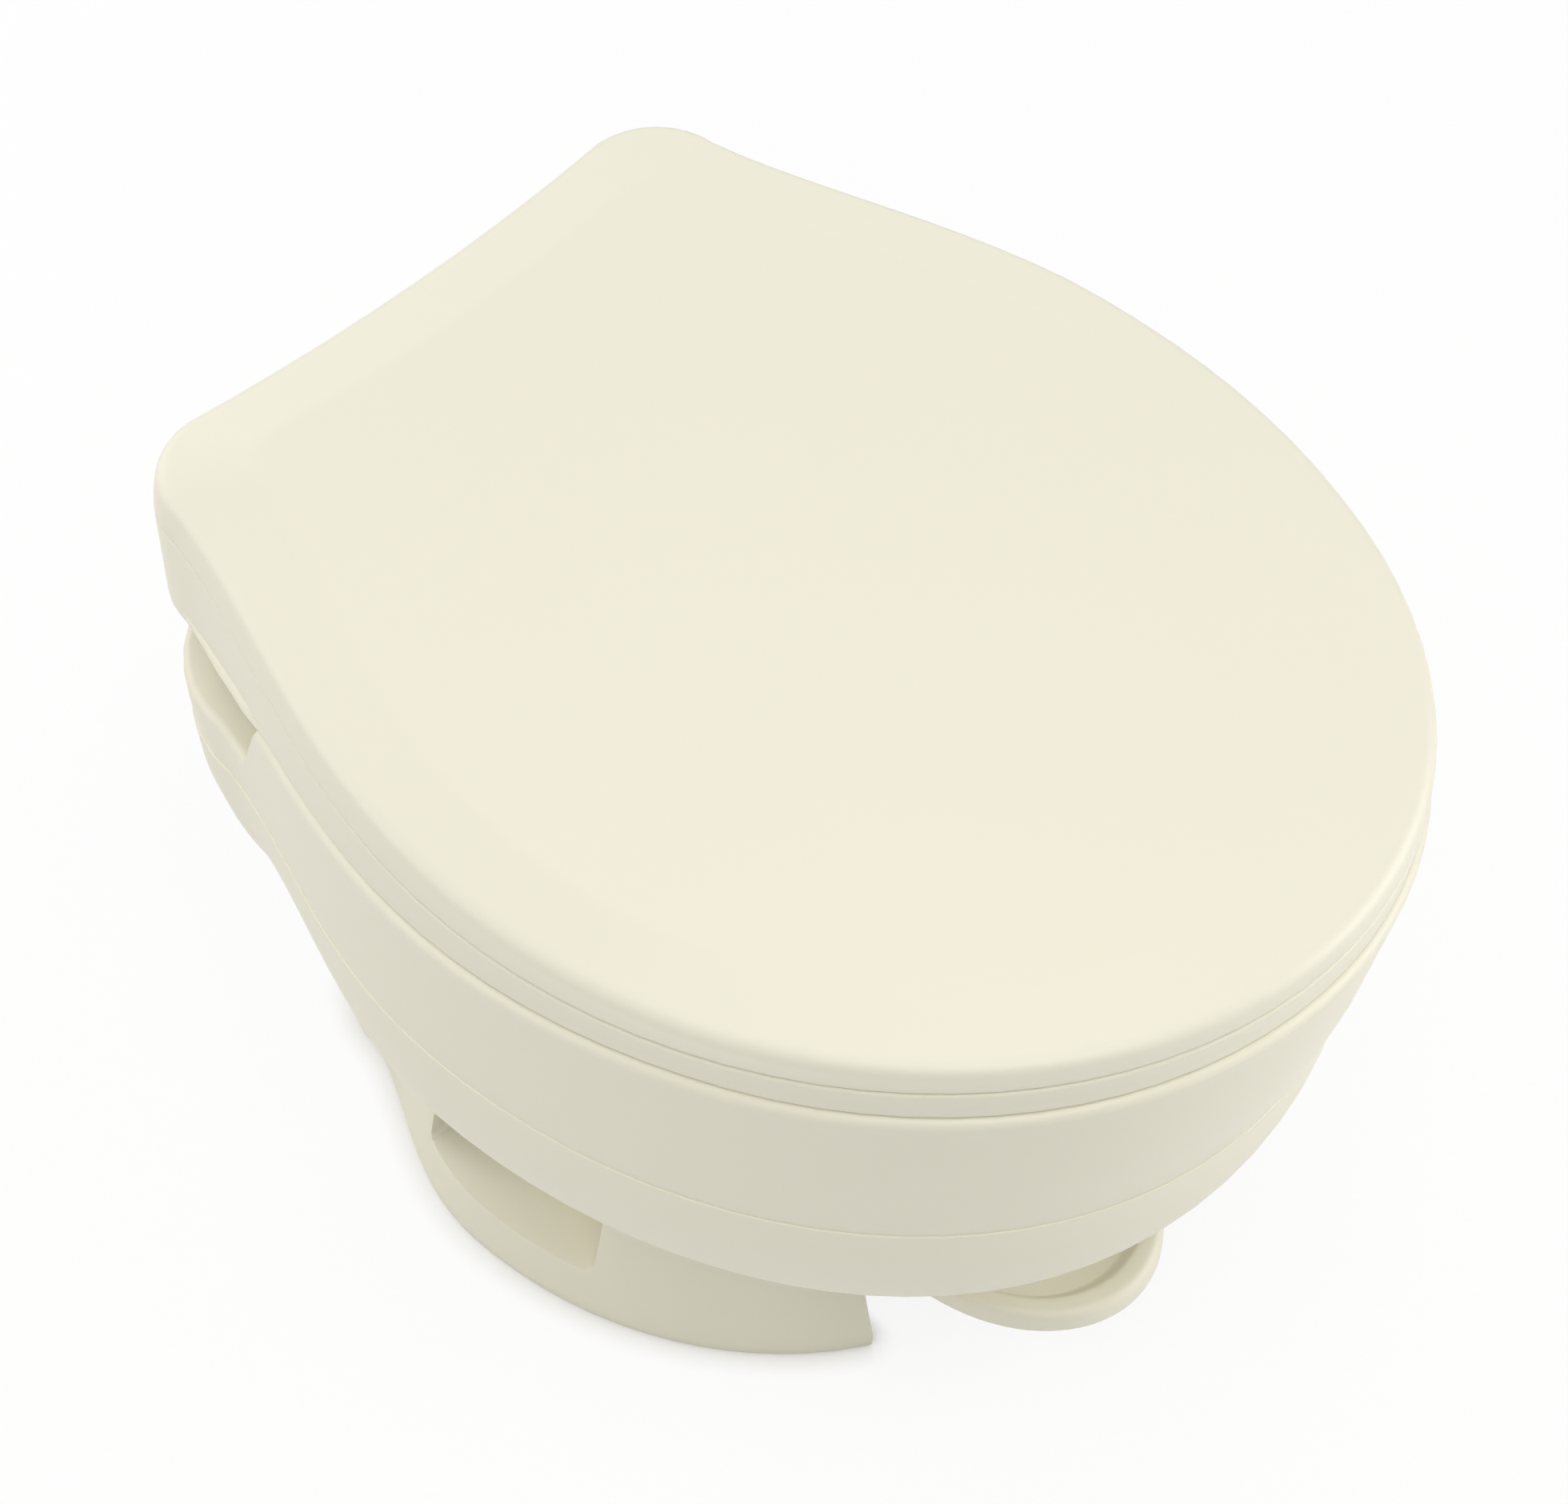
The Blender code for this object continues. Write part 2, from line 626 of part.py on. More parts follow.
def knuckle_relief():
    """Cutter that rounds the seat's rear edge about the hinge, so the lid swings clear."""
    width = (-HALF_WIDTH - OVERRUN, HALF_WIDTH + OVERRUN)
    relief = block("knuckle_relief", width, (HINGE_Y, HALF_LENGTH + OVERRUN),
                   (HINGE_Z, PARTING_HEIGHT + OVERRUN))
    core_width = (width[0] - OVERRUN, width[1] + OVERRUN)
    core = rod("knuckle_core", HINGE_KNUCKLE_RADIUS, core_width, HINGE_Y, HINGE_Z, 2 * ROUND_SEGMENTS)
    combine(relief, core)
    return relief


def build_seat():
    """Seat ring with a deep rear block that houses the hinge."""
    rings = [ring(inset(TOP, SEAT_ROUNDING), seat_foot),
             ring(TOP, raised(seat_foot, SEAT_ROUNDING)),
             ring(TOP, raised(seat_top, -SEAT_ROUNDING)),
             ring(inset(TOP, SEAT_ROUNDING), seat_top),
             ring(inset(SEAT_OPENING, -SEAT_ROUNDING), seat_top),
             ring(SEAT_OPENING, raised(seat_top, -SEAT_ROUNDING)),
             ring(SEAT_OPENING, raised(seat_foot, SEAT_ROUNDING)),
             ring(inset(SEAT_OPENING, -SEAT_ROUNDING), seat_foot)]
    inner_foot = inset(SEAT_OPENING, -SEAT_ROUNDING)
    outer_foot = inset(TOP, SEAT_ROUNDING)
    for step in range(1, SEAT_FOOT_STEPS):
        rings.append(ring(blend(inner_foot, outer_foot, step / SEAT_FOOT_STEPS), seat_foot))
    seat = loft("seat", rings, closed=True)
    bay = block("hinge_bay", (-HINGE_BAY_HALF_WIDTH, HINGE_BAY_HALF_WIDTH),
                (HINGE_BAY_FRONT, HALF_LENGTH + OVERRUN), (DECK_HEIGHT, HINGE_BAY_TOP))
    combine(seat, bay)
    for side in (-1, 1):
        inner = LUG_INNER_X - LUG_SLOT_SIDE_GAP
        reach = side_range(side, inner, inner + LUG_WIDTH + LUG_SLOT_SIDE_GAP * 2)
        slot = block(f"lug_slot_{side:+d}", reach, (HINGE_Y - LUG_SLOT_DEPTH, HALF_LENGTH + OVERRUN),
                     (HINGE_Z, PARTING_HEIGHT + OVERRUN))
        combine(seat, slot)
    combine(seat, knuckle_relief())
    combine(seat, hinge_bore("seat_bore"))
    return seat


def body_outside():
    """Solid outer form of the body, from the waist up to the rim."""
    rings = []
    for drop_share, inward_share in reversed(UNDER_SHARES):
        rings.append(ring(blend(BELLY, WAIST, drop_share), mix(BELLY_HEIGHT, WAIST_HEIGHT, inward_share)))
    for drop_share, inward_share in reversed(BELLY_SHARES):
        rings.append(ring(blend(CREASE, BELLY, inward_share), mix(CREASE_HEIGHT, BELLY_HEIGHT, drop_share)))
    rings += [ring(blend(CREASE, TOP, BAND_SWELL_SHARE), BAND_SWELL_HEIGHT),
              ring(TOP, raised(rim_top, -RIM_ROUNDING)),
              ring(inset(TOP, RIM_ROUNDING / 4), raised(rim_top, -RIM_ROUNDING / 3)),
              ring(inset(TOP, RIM_ROUNDING), rim_top)]
    return rings


def well(depth, rear_depth=0.0):
    """Plan of the bowl's well, drawn in from the rim and closed ahead of the hinge deck."""
    return Plan(HALF_WIDTH - depth, HALF_LENGTH - depth, 0.0, WELL_REAR - rear_depth,
                WELL_REAR_HALF_WIDTH - rear_depth, WELL_CORNER)


def body_chamber():
    """Cutter for the space under the deck and inside the belly."""
    rings = [ring(inset(WAIST, BODY_THICKNESS), WAIST_HEIGHT - OVERRUN)]
    for drop_share, inward_share in reversed(UNDER_SHARES):
        plan = inset(blend(BELLY, WAIST, drop_share), BODY_THICKNESS)
        height = mix(BELLY_HEIGHT, WAIST_HEIGHT, inward_share) + BODY_THICKNESS * drop_share
        rings.append(ring(plan, height))
    for drop_share, inward_share in reversed(BELLY_SHARES):
        plan = inset(blend(CREASE, BELLY, inward_share), BODY_THICKNESS)
        rings.append(ring(plan, mix(CREASE_HEIGHT, BELLY_HEIGHT, drop_share)))
    rings.append(ring(inset(CREASE, BODY_THICKNESS), DECK_HEIGHT - DECK_THICKNESS))
    return loft("body_chamber", rings)


def band_well(height):
    """Plan of the space inside the band at a height, a wall's thickness inside its taper."""
    share = (height - CREASE_HEIGHT) / (rim_top(-HALF_LENGTH) - CREASE_HEIGHT)
    rear_depth = RIM_STEP_WIDTH / 2
    return Plan(mix(CREASE.half_width, HALF_WIDTH, share) - BODY_THICKNESS,
                mix(CREASE.front, HALF_LENGTH, share) - BODY_THICKNESS, mix(CREASE.centre, 0.0, share),
                WELL_REAR - rear_depth, WELL_REAR_HALF_WIDTH, WELL_CORNER)


def body_well():
    """Cutter for the bowl's well, with the step that carries the bowl's flange."""
    top = HINGE_Z + HALF_WIDTH / 2
    narrow = well(RIM_LIP + RIM_STEP_WIDTH, RIM_STEP_WIDTH)
    lip = well(RIM_LIP)
    foot = DECK_HEIGHT - DECK_THICKNESS * 2
    step_foot = raised(rim_top, -RIM_STEP_DEPTH - RIM_STEP_HEIGHT)
    wide = band_well(step_foot(0.0))
    rings = [ring(inset(band_well(foot), BODY_THICKNESS), foot, 0.0), ring(wide, step_foot, 0.0),
             ring(narrow, step_foot, 0.0), ring(narrow, raised(rim_top, -RIM_STEP_DEPTH), 0.0),
             ring(lip, raised(rim_top, -RIM_STEP_DEPTH), 0.0), ring(lip, top, 0.0)]
    return loft("body_well", rings)


def build_body():
    """Outer body: a band under the rim, a belly, and a low deck behind the bowl for the hinges."""
    rings = body_outside()
    flat_top = HINGE_Z + HALF_WIDTH / 4
    recess = well(RIM_LIP + RIM_STEP_WIDTH * 2, RIM_STEP_WIDTH * 2)
    for step in range(1, RIM_STEPS + 1):
        rings.append(ring(blend(inset(TOP, RIM_ROUNDING), recess, step / RIM_STEPS), rim_top))
    rings.append(ring(recess, DECK_HEIGHT))
    body = loft("outer_body", rings)
    behind = HALF_LENGTH + OVERRUN
    slope = [(NOTCH_TOP_Y, flat_top), (NOTCH_FOOT_Y, DECK_HEIGHT),
             (behind, DECK_HEIGHT), (behind, flat_top)]
    notch = side_plate("deck_notch", slope, (-HALF_WIDTH - OVERRUN, HALF_WIDTH + OVERRUN))
    combine(body, notch)
    combine(body, body_chamber())
    combine(body, body_well())
    for side in (-1, 1):
        x, y = hinge_bolt_place(side)
        profile = [(HINGE_BOLT_RADIUS + GAP, -OVERRUN), (HINGE_BOLT_RADIUS + GAP, 0.0)]
        hole = turned(f"deck_hole_{side:+d}", profile, (x, y, DECK_HEIGHT + GAP), "Z", SMALL_SEGMENTS)
        combine(body, hole)
    return body


def nozzle_front():
    """Front end of the rinse nozzle, inside the bowl."""
    return BOWL_OPENING.rear - NOZZLE_OVERHANG


def throat_ring(radius, height, y):
    """Round ring with as many points as a plan ring, matched to it by direction."""
    whole = ring(BOWL_OPENING, 0.0, 0.0)
    middle = (BOWL_OPENING.rear - BOWL_OPENING.front) / 2
    points = []
    for px, py, _ in whole:
        turn = math.atan2(py - middle, px)
        points.append((radius * math.cos(turn), y + radius * math.sin(turn), height))
    return points


def bowl_ring(share, height_share, out, drop, drain_y):
    """Ring part of the way from the bowl's opening to its throat."""
    opening = ring(inset(BOWL_OPENING, -out), lambda y: rim_top(y) - drop, 0.0)
    throat = throat_ring(THROAT_RADIUS + out, THROAT_TOP - drop, drain_y)
    rows = []
    for top, low in zip(opening, throat):
        across = [mix(a, b, share) for a, b in zip(top[:2], low[:2])]
        rows.append((*across, mix(low[2], top[2], height_share)))
    return rows


def build_liner():
    """Bowl liner: a flange in the rim's step, a funnel and a round throat."""
    flange = well(RIM_LIP + GAP, GAP)
    inner = [bowl_ring(share, height, 0.0, 0.0, DRAIN_Y) for share, height in BOWL_SHARES]
    outer = [bowl_ring(share, height, LINER_THICKNESS, FLANGE_THICKNESS, DRAIN_Y)
             for share, height in BOWL_SHARES]
    foot = [throat_ring(THROAT_RADIUS, THROAT_FOOT, DRAIN_Y),
            throat_ring(THROAT_RADIUS + LINER_THICKNESS, THROAT_FOOT, DRAIN_Y)]
    edge = [ring(flange, lambda y: rim_top(y) - RIM_STEP_DEPTH + GAP, 0.0), ring(flange, rim_top, 0.0)]
    rings = inner + foot + outer[::-1] + edge
    liner = loft("bowl_liner", rings, closed=True)
    hole = turned("nozzle_hole", [(NOZZLE_RADIUS + GAP, 0.0), (NOZZLE_RADIUS + GAP, NOZZLE_LENGTH)],
                  (0.0, nozzle_front(), NOZZLE_Z), "Y", SMALL_SEGMENTS)
    combine(liner, hole)
    return liner


def base_outline(depth, height):
    """Ring of the pedestal's wall at a height, drawn in by a depth."""
    share = max(0.0, (height - BASE_KERB_HEIGHT) / (WAIST_HEIGHT - BASE_KERB_HEIGHT))
    return ring(inset(blend(BASE, WAIST, min(1.0, share)), depth), height)


def rounded_window(side, x_inner):
    """Cutter for a window with rounded corners through the pedestal's side."""
    points = []
    y_middle = (WINDOW_FRONT + WINDOW_REAR) / 2
    z_middle = (WINDOW_FOOT + WINDOW_TOP) / 2
    half_y = (WINDOW_REAR - WINDOW_FRONT) / 2 - WINDOW_CORNER
    half_z = (WINDOW_TOP - WINDOW_FOOT) / 2 - WINDOW_CORNER
    for quarter, (y_sign, z_sign) in enumerate(((1, 1), (-1, 1), (-1, -1), (1, -1))):
        for step in range(WINDOW_CORNER_STEPS + 1):
            turn = math.pi / 2 * (quarter + step / WINDOW_CORNER_STEPS)
            points.append((y_middle + y_sign * half_y + WINDOW_CORNER * math.cos(turn),
                           z_middle + z_sign * half_z + WINDOW_CORNER * math.sin(turn)))
    reach = side_range(side, x_inner, HALF_WIDTH + OVERRUN)
    return side_plate(f"window_{side:+d}", points, reach)


def build_base():
    """Pedestal base: a hollow foot with two side windows and a mouth for the pedal."""
    base = loft("pedestal_base", [base_outline(0.0, 0.0), base_outline(0.0, BASE_KERB_HEIGHT),
                                  base_outline(0.0, WAIST_HEIGHT - GAP)])
    chamber = loft("base_chamber", [base_outline(BASE_THICKNESS, BASE_FLOOR_THICKNESS),
                                    base_outline(BASE_THICKNESS, WAIST_HEIGHT + GAP)])
    for side in (-1, 1):
        reach = side_range(side, WINDOW_POCKET_X - WINDOW_WALL, HALF_WIDTH + OVERRUN)
        kept = block(f"pocket_block_{side:+d}", reach,
                     (WINDOW_FRONT - WINDOW_WALL, WINDOW_REAR + WINDOW_WALL), (0.0, WINDOW_TOP + WINDOW_WALL))
        combine(chamber, kept)
    combine(base, chamber)
    for side in (-1, 1):
        combine(base, rounded_window(side, WINDOW_POCKET_X))
        reach = side_range(side, WINDOW_POCKET_X - WINDOW_WALL * 2, HALF_WIDTH)
        rear = WINDOW_REAR - WINDOW_HOLE_MARGIN
        hole = block(f"window_hole_{side:+d}", reach, (rear - WINDOW_HOLE_LENGTH, rear),
                     (WINDOW_FOOT + WINDOW_HOLE_MARGIN, WINDOW_TOP - WINDOW_HOLE_MARGIN))
        combine(base, hole)
    mouth = block("pedal_mouth", (-PEDAL_MOUTH_HALF_WIDTH, PEDAL_MOUTH_HALF_WIDTH),
                  (-HALF_LENGTH, PEDAL_Y - PEDAL_MOUTH_DEPTH), (-OVERRUN, PEDAL_Z + PEDAL_MOUTH_HEADROOM))
    combine(base, mouth)
    fit_base_for_drain(base)
    fit_base_for_pedal(base)
    profile = [(INLET_RADIUS + GAP, VALVE_REAR + OVERRUN), (INLET_RADIUS + GAP, HALF_LENGTH)]
    inlet = turned("inlet_hole", profile, (VALVE_X, 0.0, BALL_Z), "Y", SMALL_SEGMENTS)
    combine(base, inlet)
    return base


def fit_base_for_drain(base):
    """Cut the outlet, the recess for the floor seal and the bolt holes through the floor plate."""
    profile = [(OUTLET_RADIUS, -OVERRUN), (OUTLET_RADIUS, OVERRUN)]
    combine(base, turned("outlet_hole", profile, (0.0, DRAIN_Y, 0.0), "Z"))
    profile = [(SEAL_RECESS_RADIUS, -OVERRUN), (SEAL_RECESS_RADIUS, SEAL_RECESS_HEIGHT)]
    recess = turned("seal_recess", profile, (0.0, DRAIN_Y, 0.0), "Z")
    combine(base, recess)
    for side in (-1, 1):
        head_top = CLOSET_HEAD_HEIGHT + GAP
        profile = [(CLOSET_HEAD_RADIUS + GAP, -OVERRUN), (CLOSET_HEAD_RADIUS + GAP, head_top),
                   (CLOSET_BOLT_RADIUS + GAP, head_top), (CLOSET_BOLT_RADIUS + GAP, OVERRUN)]
        hole = turned(f"closet_hole_{side:+d}", profile, (side * CLOSET_BOLT_X, DRAIN_Y, 0.0), "Z",
                      SMALL_SEGMENTS)
        combine(base, hole)


def fit_base_for_pedal(base):
    """Add the two ribs that carry the pedal's shaft, and bore them for its bushings."""
    for side in (-1, 1):
        reach = side_range(side, RIB_INNER_X, RIB_INNER_X + RIB_THICKNESS)
        rib = block(f"pedal_rib_{side:+d}", reach, (PEDAL_Y - RIB_HALF_LENGTH, PEDAL_Y + RIB_HALF_LENGTH),
                    (BASE_FLOOR_THICKNESS / 2, PEDAL_Z + RIB_ABOVE_SHAFT))
        combine(base, rib, "UNION")
    reach = RIB_INNER_X + RIB_THICKNESS * 2
    combine(base, rod("bushing_bore", BUSHING_RADIUS + GAP, (-reach, reach), PEDAL_Y, PEDAL_Z))


def arc(centre, radius, start, stop, steps):
    """Points of an arc in the Y-Z plane, its angles measured from +Y towards +Z."""
    points = []
    for step in range(steps + 1):
        turn = mix(start, stop, step / steps)
        points.append((centre[0] + radius * math.cos(turn), centre[1] + radius * math.sin(turn)))
    return points


def hinge_bolt_place(side):
    """Centre of a hinge bolt, behind its bracket's leg."""
    x = side * (BRACKET_INNER_X + BRACKET_WIDTH / 2)
    return x, BRACKET_LEG_FRONT + BRACKET_LEG_DEPTH + HINGE_BOLT_BEHIND_LEG


def build_bracket(side):
    """Gooseneck bracket that stands on the deck and holds a hinge pin behind it."""
    foot = DECK_HEIGHT + GAP
    leg_rear = BRACKET_LEG_FRONT + BRACKET_LEG_DEPTH
    lean = math.asin(BRACKET_ARM_HALF_HEIGHT / BRACKET_BOSS_RADIUS)
    points = [(BRACKET_LEG_FRONT, foot), (BRACKET_LEG_FRONT + BRACKET_FOOT_LENGTH, foot),
              (BRACKET_LEG_FRONT + BRACKET_FOOT_LENGTH, foot + BRACKET_FOOT_HEIGHT),
              (leg_rear, foot + BRACKET_FOOT_HEIGHT), (leg_rear, HINGE_Z - BRACKET_ARM_HALF_HEIGHT)]
    points += arc((HINGE_Y, HINGE_Z), BRACKET_BOSS_RADIUS, lean - math.pi, math.pi - lean,
                  ROUND_SEGMENTS // 2)
    points.append((BRACKET_LEG_FRONT, HINGE_Z + BRACKET_ARM_HALF_HEIGHT))
    name = f"hinge_bracket_{side_name(side)}"
    bracket = side_plate(name, points, side_range(side, BRACKET_INNER_X, BRACKET_INNER_X + BRACKET_WIDTH))
    combine(bracket, hinge_bore(f"bracket_bore_{side:+d}"))
    x, y = hinge_bolt_place(side)
    profile = [(HINGE_BOLT_RADIUS + GAP, -OVERRUN), (HINGE_BOLT_RADIUS + GAP, BRACKET_FOOT_HEIGHT * 2)]
    combine(bracket, turned(f"foot_hole_{side:+d}", profile, (x, y, foot), "Z", SMALL_SEGMENTS))
    return bracket


def build_hinge_bolt(side):
    """Bolt through a bracket's foot and the deck, with a low round head."""
    x, y = hinge_bolt_place(side)
    seat = DECK_HEIGHT + BRACKET_FOOT_HEIGHT + GAP * 2
    profile = [(HINGE_BOLT_RADIUS, seat - HINGE_BOLT_LENGTH), (HINGE_BOLT_RADIUS, seat),
               (HINGE_BOLT_HEAD_RADIUS, seat), (HINGE_BOLT_HEAD_RADIUS, seat + HINGE_BOLT_HEAD_HEIGHT / 2),
               (HINGE_BOLT_HEAD_RADIUS * 2 / 3, seat + HINGE_BOLT_HEAD_HEIGHT)]
    return turned(f"hinge_bolt_{side_name(side)}", profile, (x, y, 0.0), "Z", SMALL_SEGMENTS)


def build_wing_nut(side):
    """Wing nut under the deck."""
    x, y = hinge_bolt_place(side)
    top = DECK_HEIGHT - DECK_THICKNESS - GAP
    name = f"wing_nut_{side_name(side)}"
    profile = [(WING_NUT_RADIUS, top - WING_NUT_HEIGHT), (WING_NUT_RADIUS, top)]
    nut = turned(name, profile, (x, y, 0.0), "Z", SMALL_SEGMENTS)
    wings = block(f"wings_{side:+d}", (x - WING_LENGTH, x + WING_LENGTH),
                  (y - WING_THICKNESS / 2, y + WING_THICKNESS / 2),
                  (top - WING_NUT_HEIGHT - WING_RISE, top - WING_NUT_HEIGHT / 4))
    combine(nut, wings, "UNION")
    profile = [(HINGE_BOLT_RADIUS + GAP, -OVERRUN), (HINGE_BOLT_RADIUS + GAP, OVERRUN)]
    combine(nut, turned(f"nut_bore_{side:+d}", profile, (x, y, top), "Z", SMALL_SEGMENTS))
    return nut


def build_hinge_pin(side):
    """Pin through the bracket, the lid's lug and the seat's block."""
    x_range = side_range(side, HINGE_PIN_INNER_X, HINGE_PIN_OUTER_X)
    return rod(f"hinge_pin_{side_name(side)}", HINGE_PIN_RADIUS, x_range, HINGE_Y, HINGE_Z, SMALL_SEGMENTS)


def build_lid_bumper(side):
    """Rubber post inside the lid that rests on the seat."""
    low = max(seat_top(LID_BUMPER_Y - LID_BUMPER_RADIUS), seat_top(LID_BUMPER_Y + LID_BUMPER_RADIUS)) + GAP
    profile = [(LID_BUMPER_RADIUS, low), (LID_BUMPER_RADIUS, PANEL_HEIGHT - LID_THICKNESS - GAP)]
    centre = (side * LID_BUMPER_X, LID_BUMPER_Y, 0.0)
    return turned(f"lid_bumper_{side_name(side)}", profile, centre, "Z", SMALL_SEGMENTS)


def build_seat_bumper(side, y, place):
    """Rubber pad between the seat and the bowl rim."""
    ends = (y - SEAT_BUMPER_RADIUS, y + SEAT_BUMPER_RADIUS)
    low = max(rim_top(end) for end in ends) + GAP
    high = min(seat_foot(end) for end in ends) - GAP
    profile = [(SEAT_BUMPER_RADIUS, low), (SEAT_BUMPER_RADIUS, high)]
    centre = (side * SEAT_BUMPER_X, y, 0.0)
    return turned(f"seat_bumper_{place}_{side_name(side)}", profile, centre, "Z", SMALL_SEGMENTS)


def build_housing():
    """Round housing of the waste ball, with a domed shoulder under the seal's retainer."""
    foot = BASE_FLOOR_THICKNESS + GAP
    profile = [(HOUSING_INNER_RADIUS, foot), (HOUSING_RADIUS, foot), (HOUSING_RADIUS, HOUSING_TOP),
               (HOUSING_MOUTH_RADIUS, HOUSING_TOP), (HOUSING_MOUTH_RADIUS, HOUSING_TOP - HOUSING_LIP_DEPTH),
               (HOUSING_INNER_RADIUS, HOUSING_TOP - HOUSING_DOME_DEPTH)]
    housing = turned("ball_housing", profile, (0.0, DRAIN_Y, 0.0), "Z", HOUSING_SEGMENTS, closed=True)
    reach = HOUSING_RADIUS + OVERRUN
    combine(housing, rod("bearing_bore", BEARING_RADIUS + GAP, (-reach, reach), DRAIN_Y, BALL_Z))
    return housing


def ball_shell():
    """Spherical shell, thick enough to hold its shafts."""
    bm = bmesh.new()
    bmesh.ops.create_uvsphere(bm, u_segments=BALL_SEGMENTS, v_segments=BALL_RINGS, radius=BALL_RADIUS)
    bmesh.ops.translate(bm, verts=bm.verts, vec=(0.0, DRAIN_Y, BALL_Z))
    shell = finish_mesh("waste_ball", bm)
    bm = bmesh.new()
    bmesh.ops.create_uvsphere(bm, u_segments=BALL_SEGMENTS, v_segments=BALL_RINGS,
                              radius=BALL_RADIUS - BALL_THICKNESS)
    bmesh.ops.translate(bm, verts=bm.verts, vec=(0.0, DRAIN_Y, BALL_Z))
    combine(shell, finish_mesh("ball_hollow", bm))
    return shell


def build_ball():
    """Part of a ball that closes the throat, with an arm down to the shaft on each side."""
    ball = ball_shell()
    reach = BALL_RADIUS * 2
    kept = block("ball_cap_zone", (-reach, reach), (DRAIN_Y - reach, DRAIN_Y + reach),
                 (BALL_Z + BALL_CAP_HEIGHT, BALL_Z + reach))
    arms = block("ball_arm_zone", (-reach, reach),
                 (DRAIN_Y - BALL_ARM_HALF_WIDTH, DRAIN_Y + BALL_ARM_HALF_WIDTH),
                 (BALL_Z - BALL_ARM_HALF_WIDTH, BALL_Z + BALL_CAP_HEIGHT + BALL_THICKNESS))
    combine(kept, arms, "UNION")
    combine(ball, kept, "INTERSECT")
    combine(ball, rod("ball_shaft_bore", BALL_SHAFT_RADIUS + GAP, (-reach, reach), DRAIN_Y, BALL_Z))
    return ball


def build_ball_shaft(side):
    """Shaft that carries the ball on one side."""
    x_range = side_range(side, BALL_SHAFT_INNER_X, BALL_SHAFT_OUTER_X)
    return rod(f"ball_shaft_{side_name(side)}", BALL_SHAFT_RADIUS, x_range, DRAIN_Y, BALL_Z, SMALL_SEGMENTS)


def build_bearing(side):
    """Bearing of a ball shaft in the housing's wall."""
    span = side_range(side, BEARING_INNER_X, BEARING_OUTER_X)
    return sleeve(f"ball_bearing_{side_name(side)}", BALL_SHAFT_RADIUS + GAP, BEARING_RADIUS, span,
                  (0.0, DRAIN_Y, BALL_Z), "X")


def build_seal():
    """Rubber ring that the ball closes against."""
    span = (HOUSING_TOP - SEAL_HEIGHT, HOUSING_TOP)
    return sleeve("ball_seal", SEAL_INNER_RADIUS, SEAL_OUTER_RADIUS, span, (0.0, DRAIN_Y, 0.0), "Z",
                  HOUSING_SEGMENTS)


def build_retainer():
    """Ring that holds the seal down and carries the bowl's throat."""
    span = (HOUSING_TOP + GAP, THROAT_FOOT - GAP)
    return sleeve("seal_retainer", SEAL_INNER_RADIUS, BALL_RADIUS, span, (0.0, DRAIN_Y, 0.0), "Z",
                  HOUSING_SEGMENTS)


def build_floor_seal():
    """Soft ring in the recess under the base."""
    span = (GAP, SEAL_RECESS_HEIGHT - GAP)
    outer = SEAL_RECESS_RADIUS - GAP
    return sleeve("floor_seal", FLOOR_SEAL_INNER_RADIUS, outer, span, (0.0, DRAIN_Y, 0.0), "Z")


def build_closet_bolt(side):
    """Bolt that comes up from the floor flange through the base."""
    profile = [(CLOSET_HEAD_RADIUS, GAP), (CLOSET_HEAD_RADIUS, CLOSET_HEAD_HEIGHT),
               (CLOSET_BOLT_RADIUS, CLOSET_HEAD_HEIGHT), (CLOSET_BOLT_RADIUS, CLOSET_BOLT_LENGTH)]
    centre = (side * CLOSET_BOLT_X, DRAIN_Y, 0.0)
    return turned(f"closet_bolt_{side_name(side)}", profile, centre, "Z", SMALL_SEGMENTS)


def build_closet_washer(side):
    """Washer on the floor plate."""
    foot = BASE_FLOOR_THICKNESS + GAP
    centre = (side * CLOSET_BOLT_X, DRAIN_Y, 0.0)
    return sleeve(f"closet_washer_{side_name(side)}", CLOSET_BOLT_RADIUS + GAP, CLOSET_WASHER_RADIUS,
                  (foot, foot + CLOSET_WASHER_HEIGHT), centre, "Z", SMALL_SEGMENTS)


def build_closet_nut(side):
    """Six-sided nut on the washer."""
    foot = BASE_FLOOR_THICKNESS + CLOSET_WASHER_HEIGHT + GAP * 2
    sides = 6
    bore = (CLOSET_BOLT_RADIUS + GAP) / math.cos(math.pi / sides)
    centre = (side * CLOSET_BOLT_X, DRAIN_Y, 0.0)
    return sleeve(f"closet_nut_{side_name(side)}", bore, CLOSET_NUT_RADIUS,
                  (foot, foot + CLOSET_NUT_HEIGHT), centre, "Z", sides)


def pedal_ring(depth, height):
    """Half-round ring of the pedal's dish, straight at the back."""
    points = []
    for step in range(PEDAL_STEPS + 1):
        turn = math.pi * (step / PEDAL_STEPS - 1 / 2)
        points.append(((PEDAL_HALF_WIDTH - depth) * math.sin(turn),
                       PEDAL_DISH_REAR - depth - (PEDAL_DISH_REAR - PEDAL_TIP - depth * 2) * math.cos(turn),
                       height))
    return points


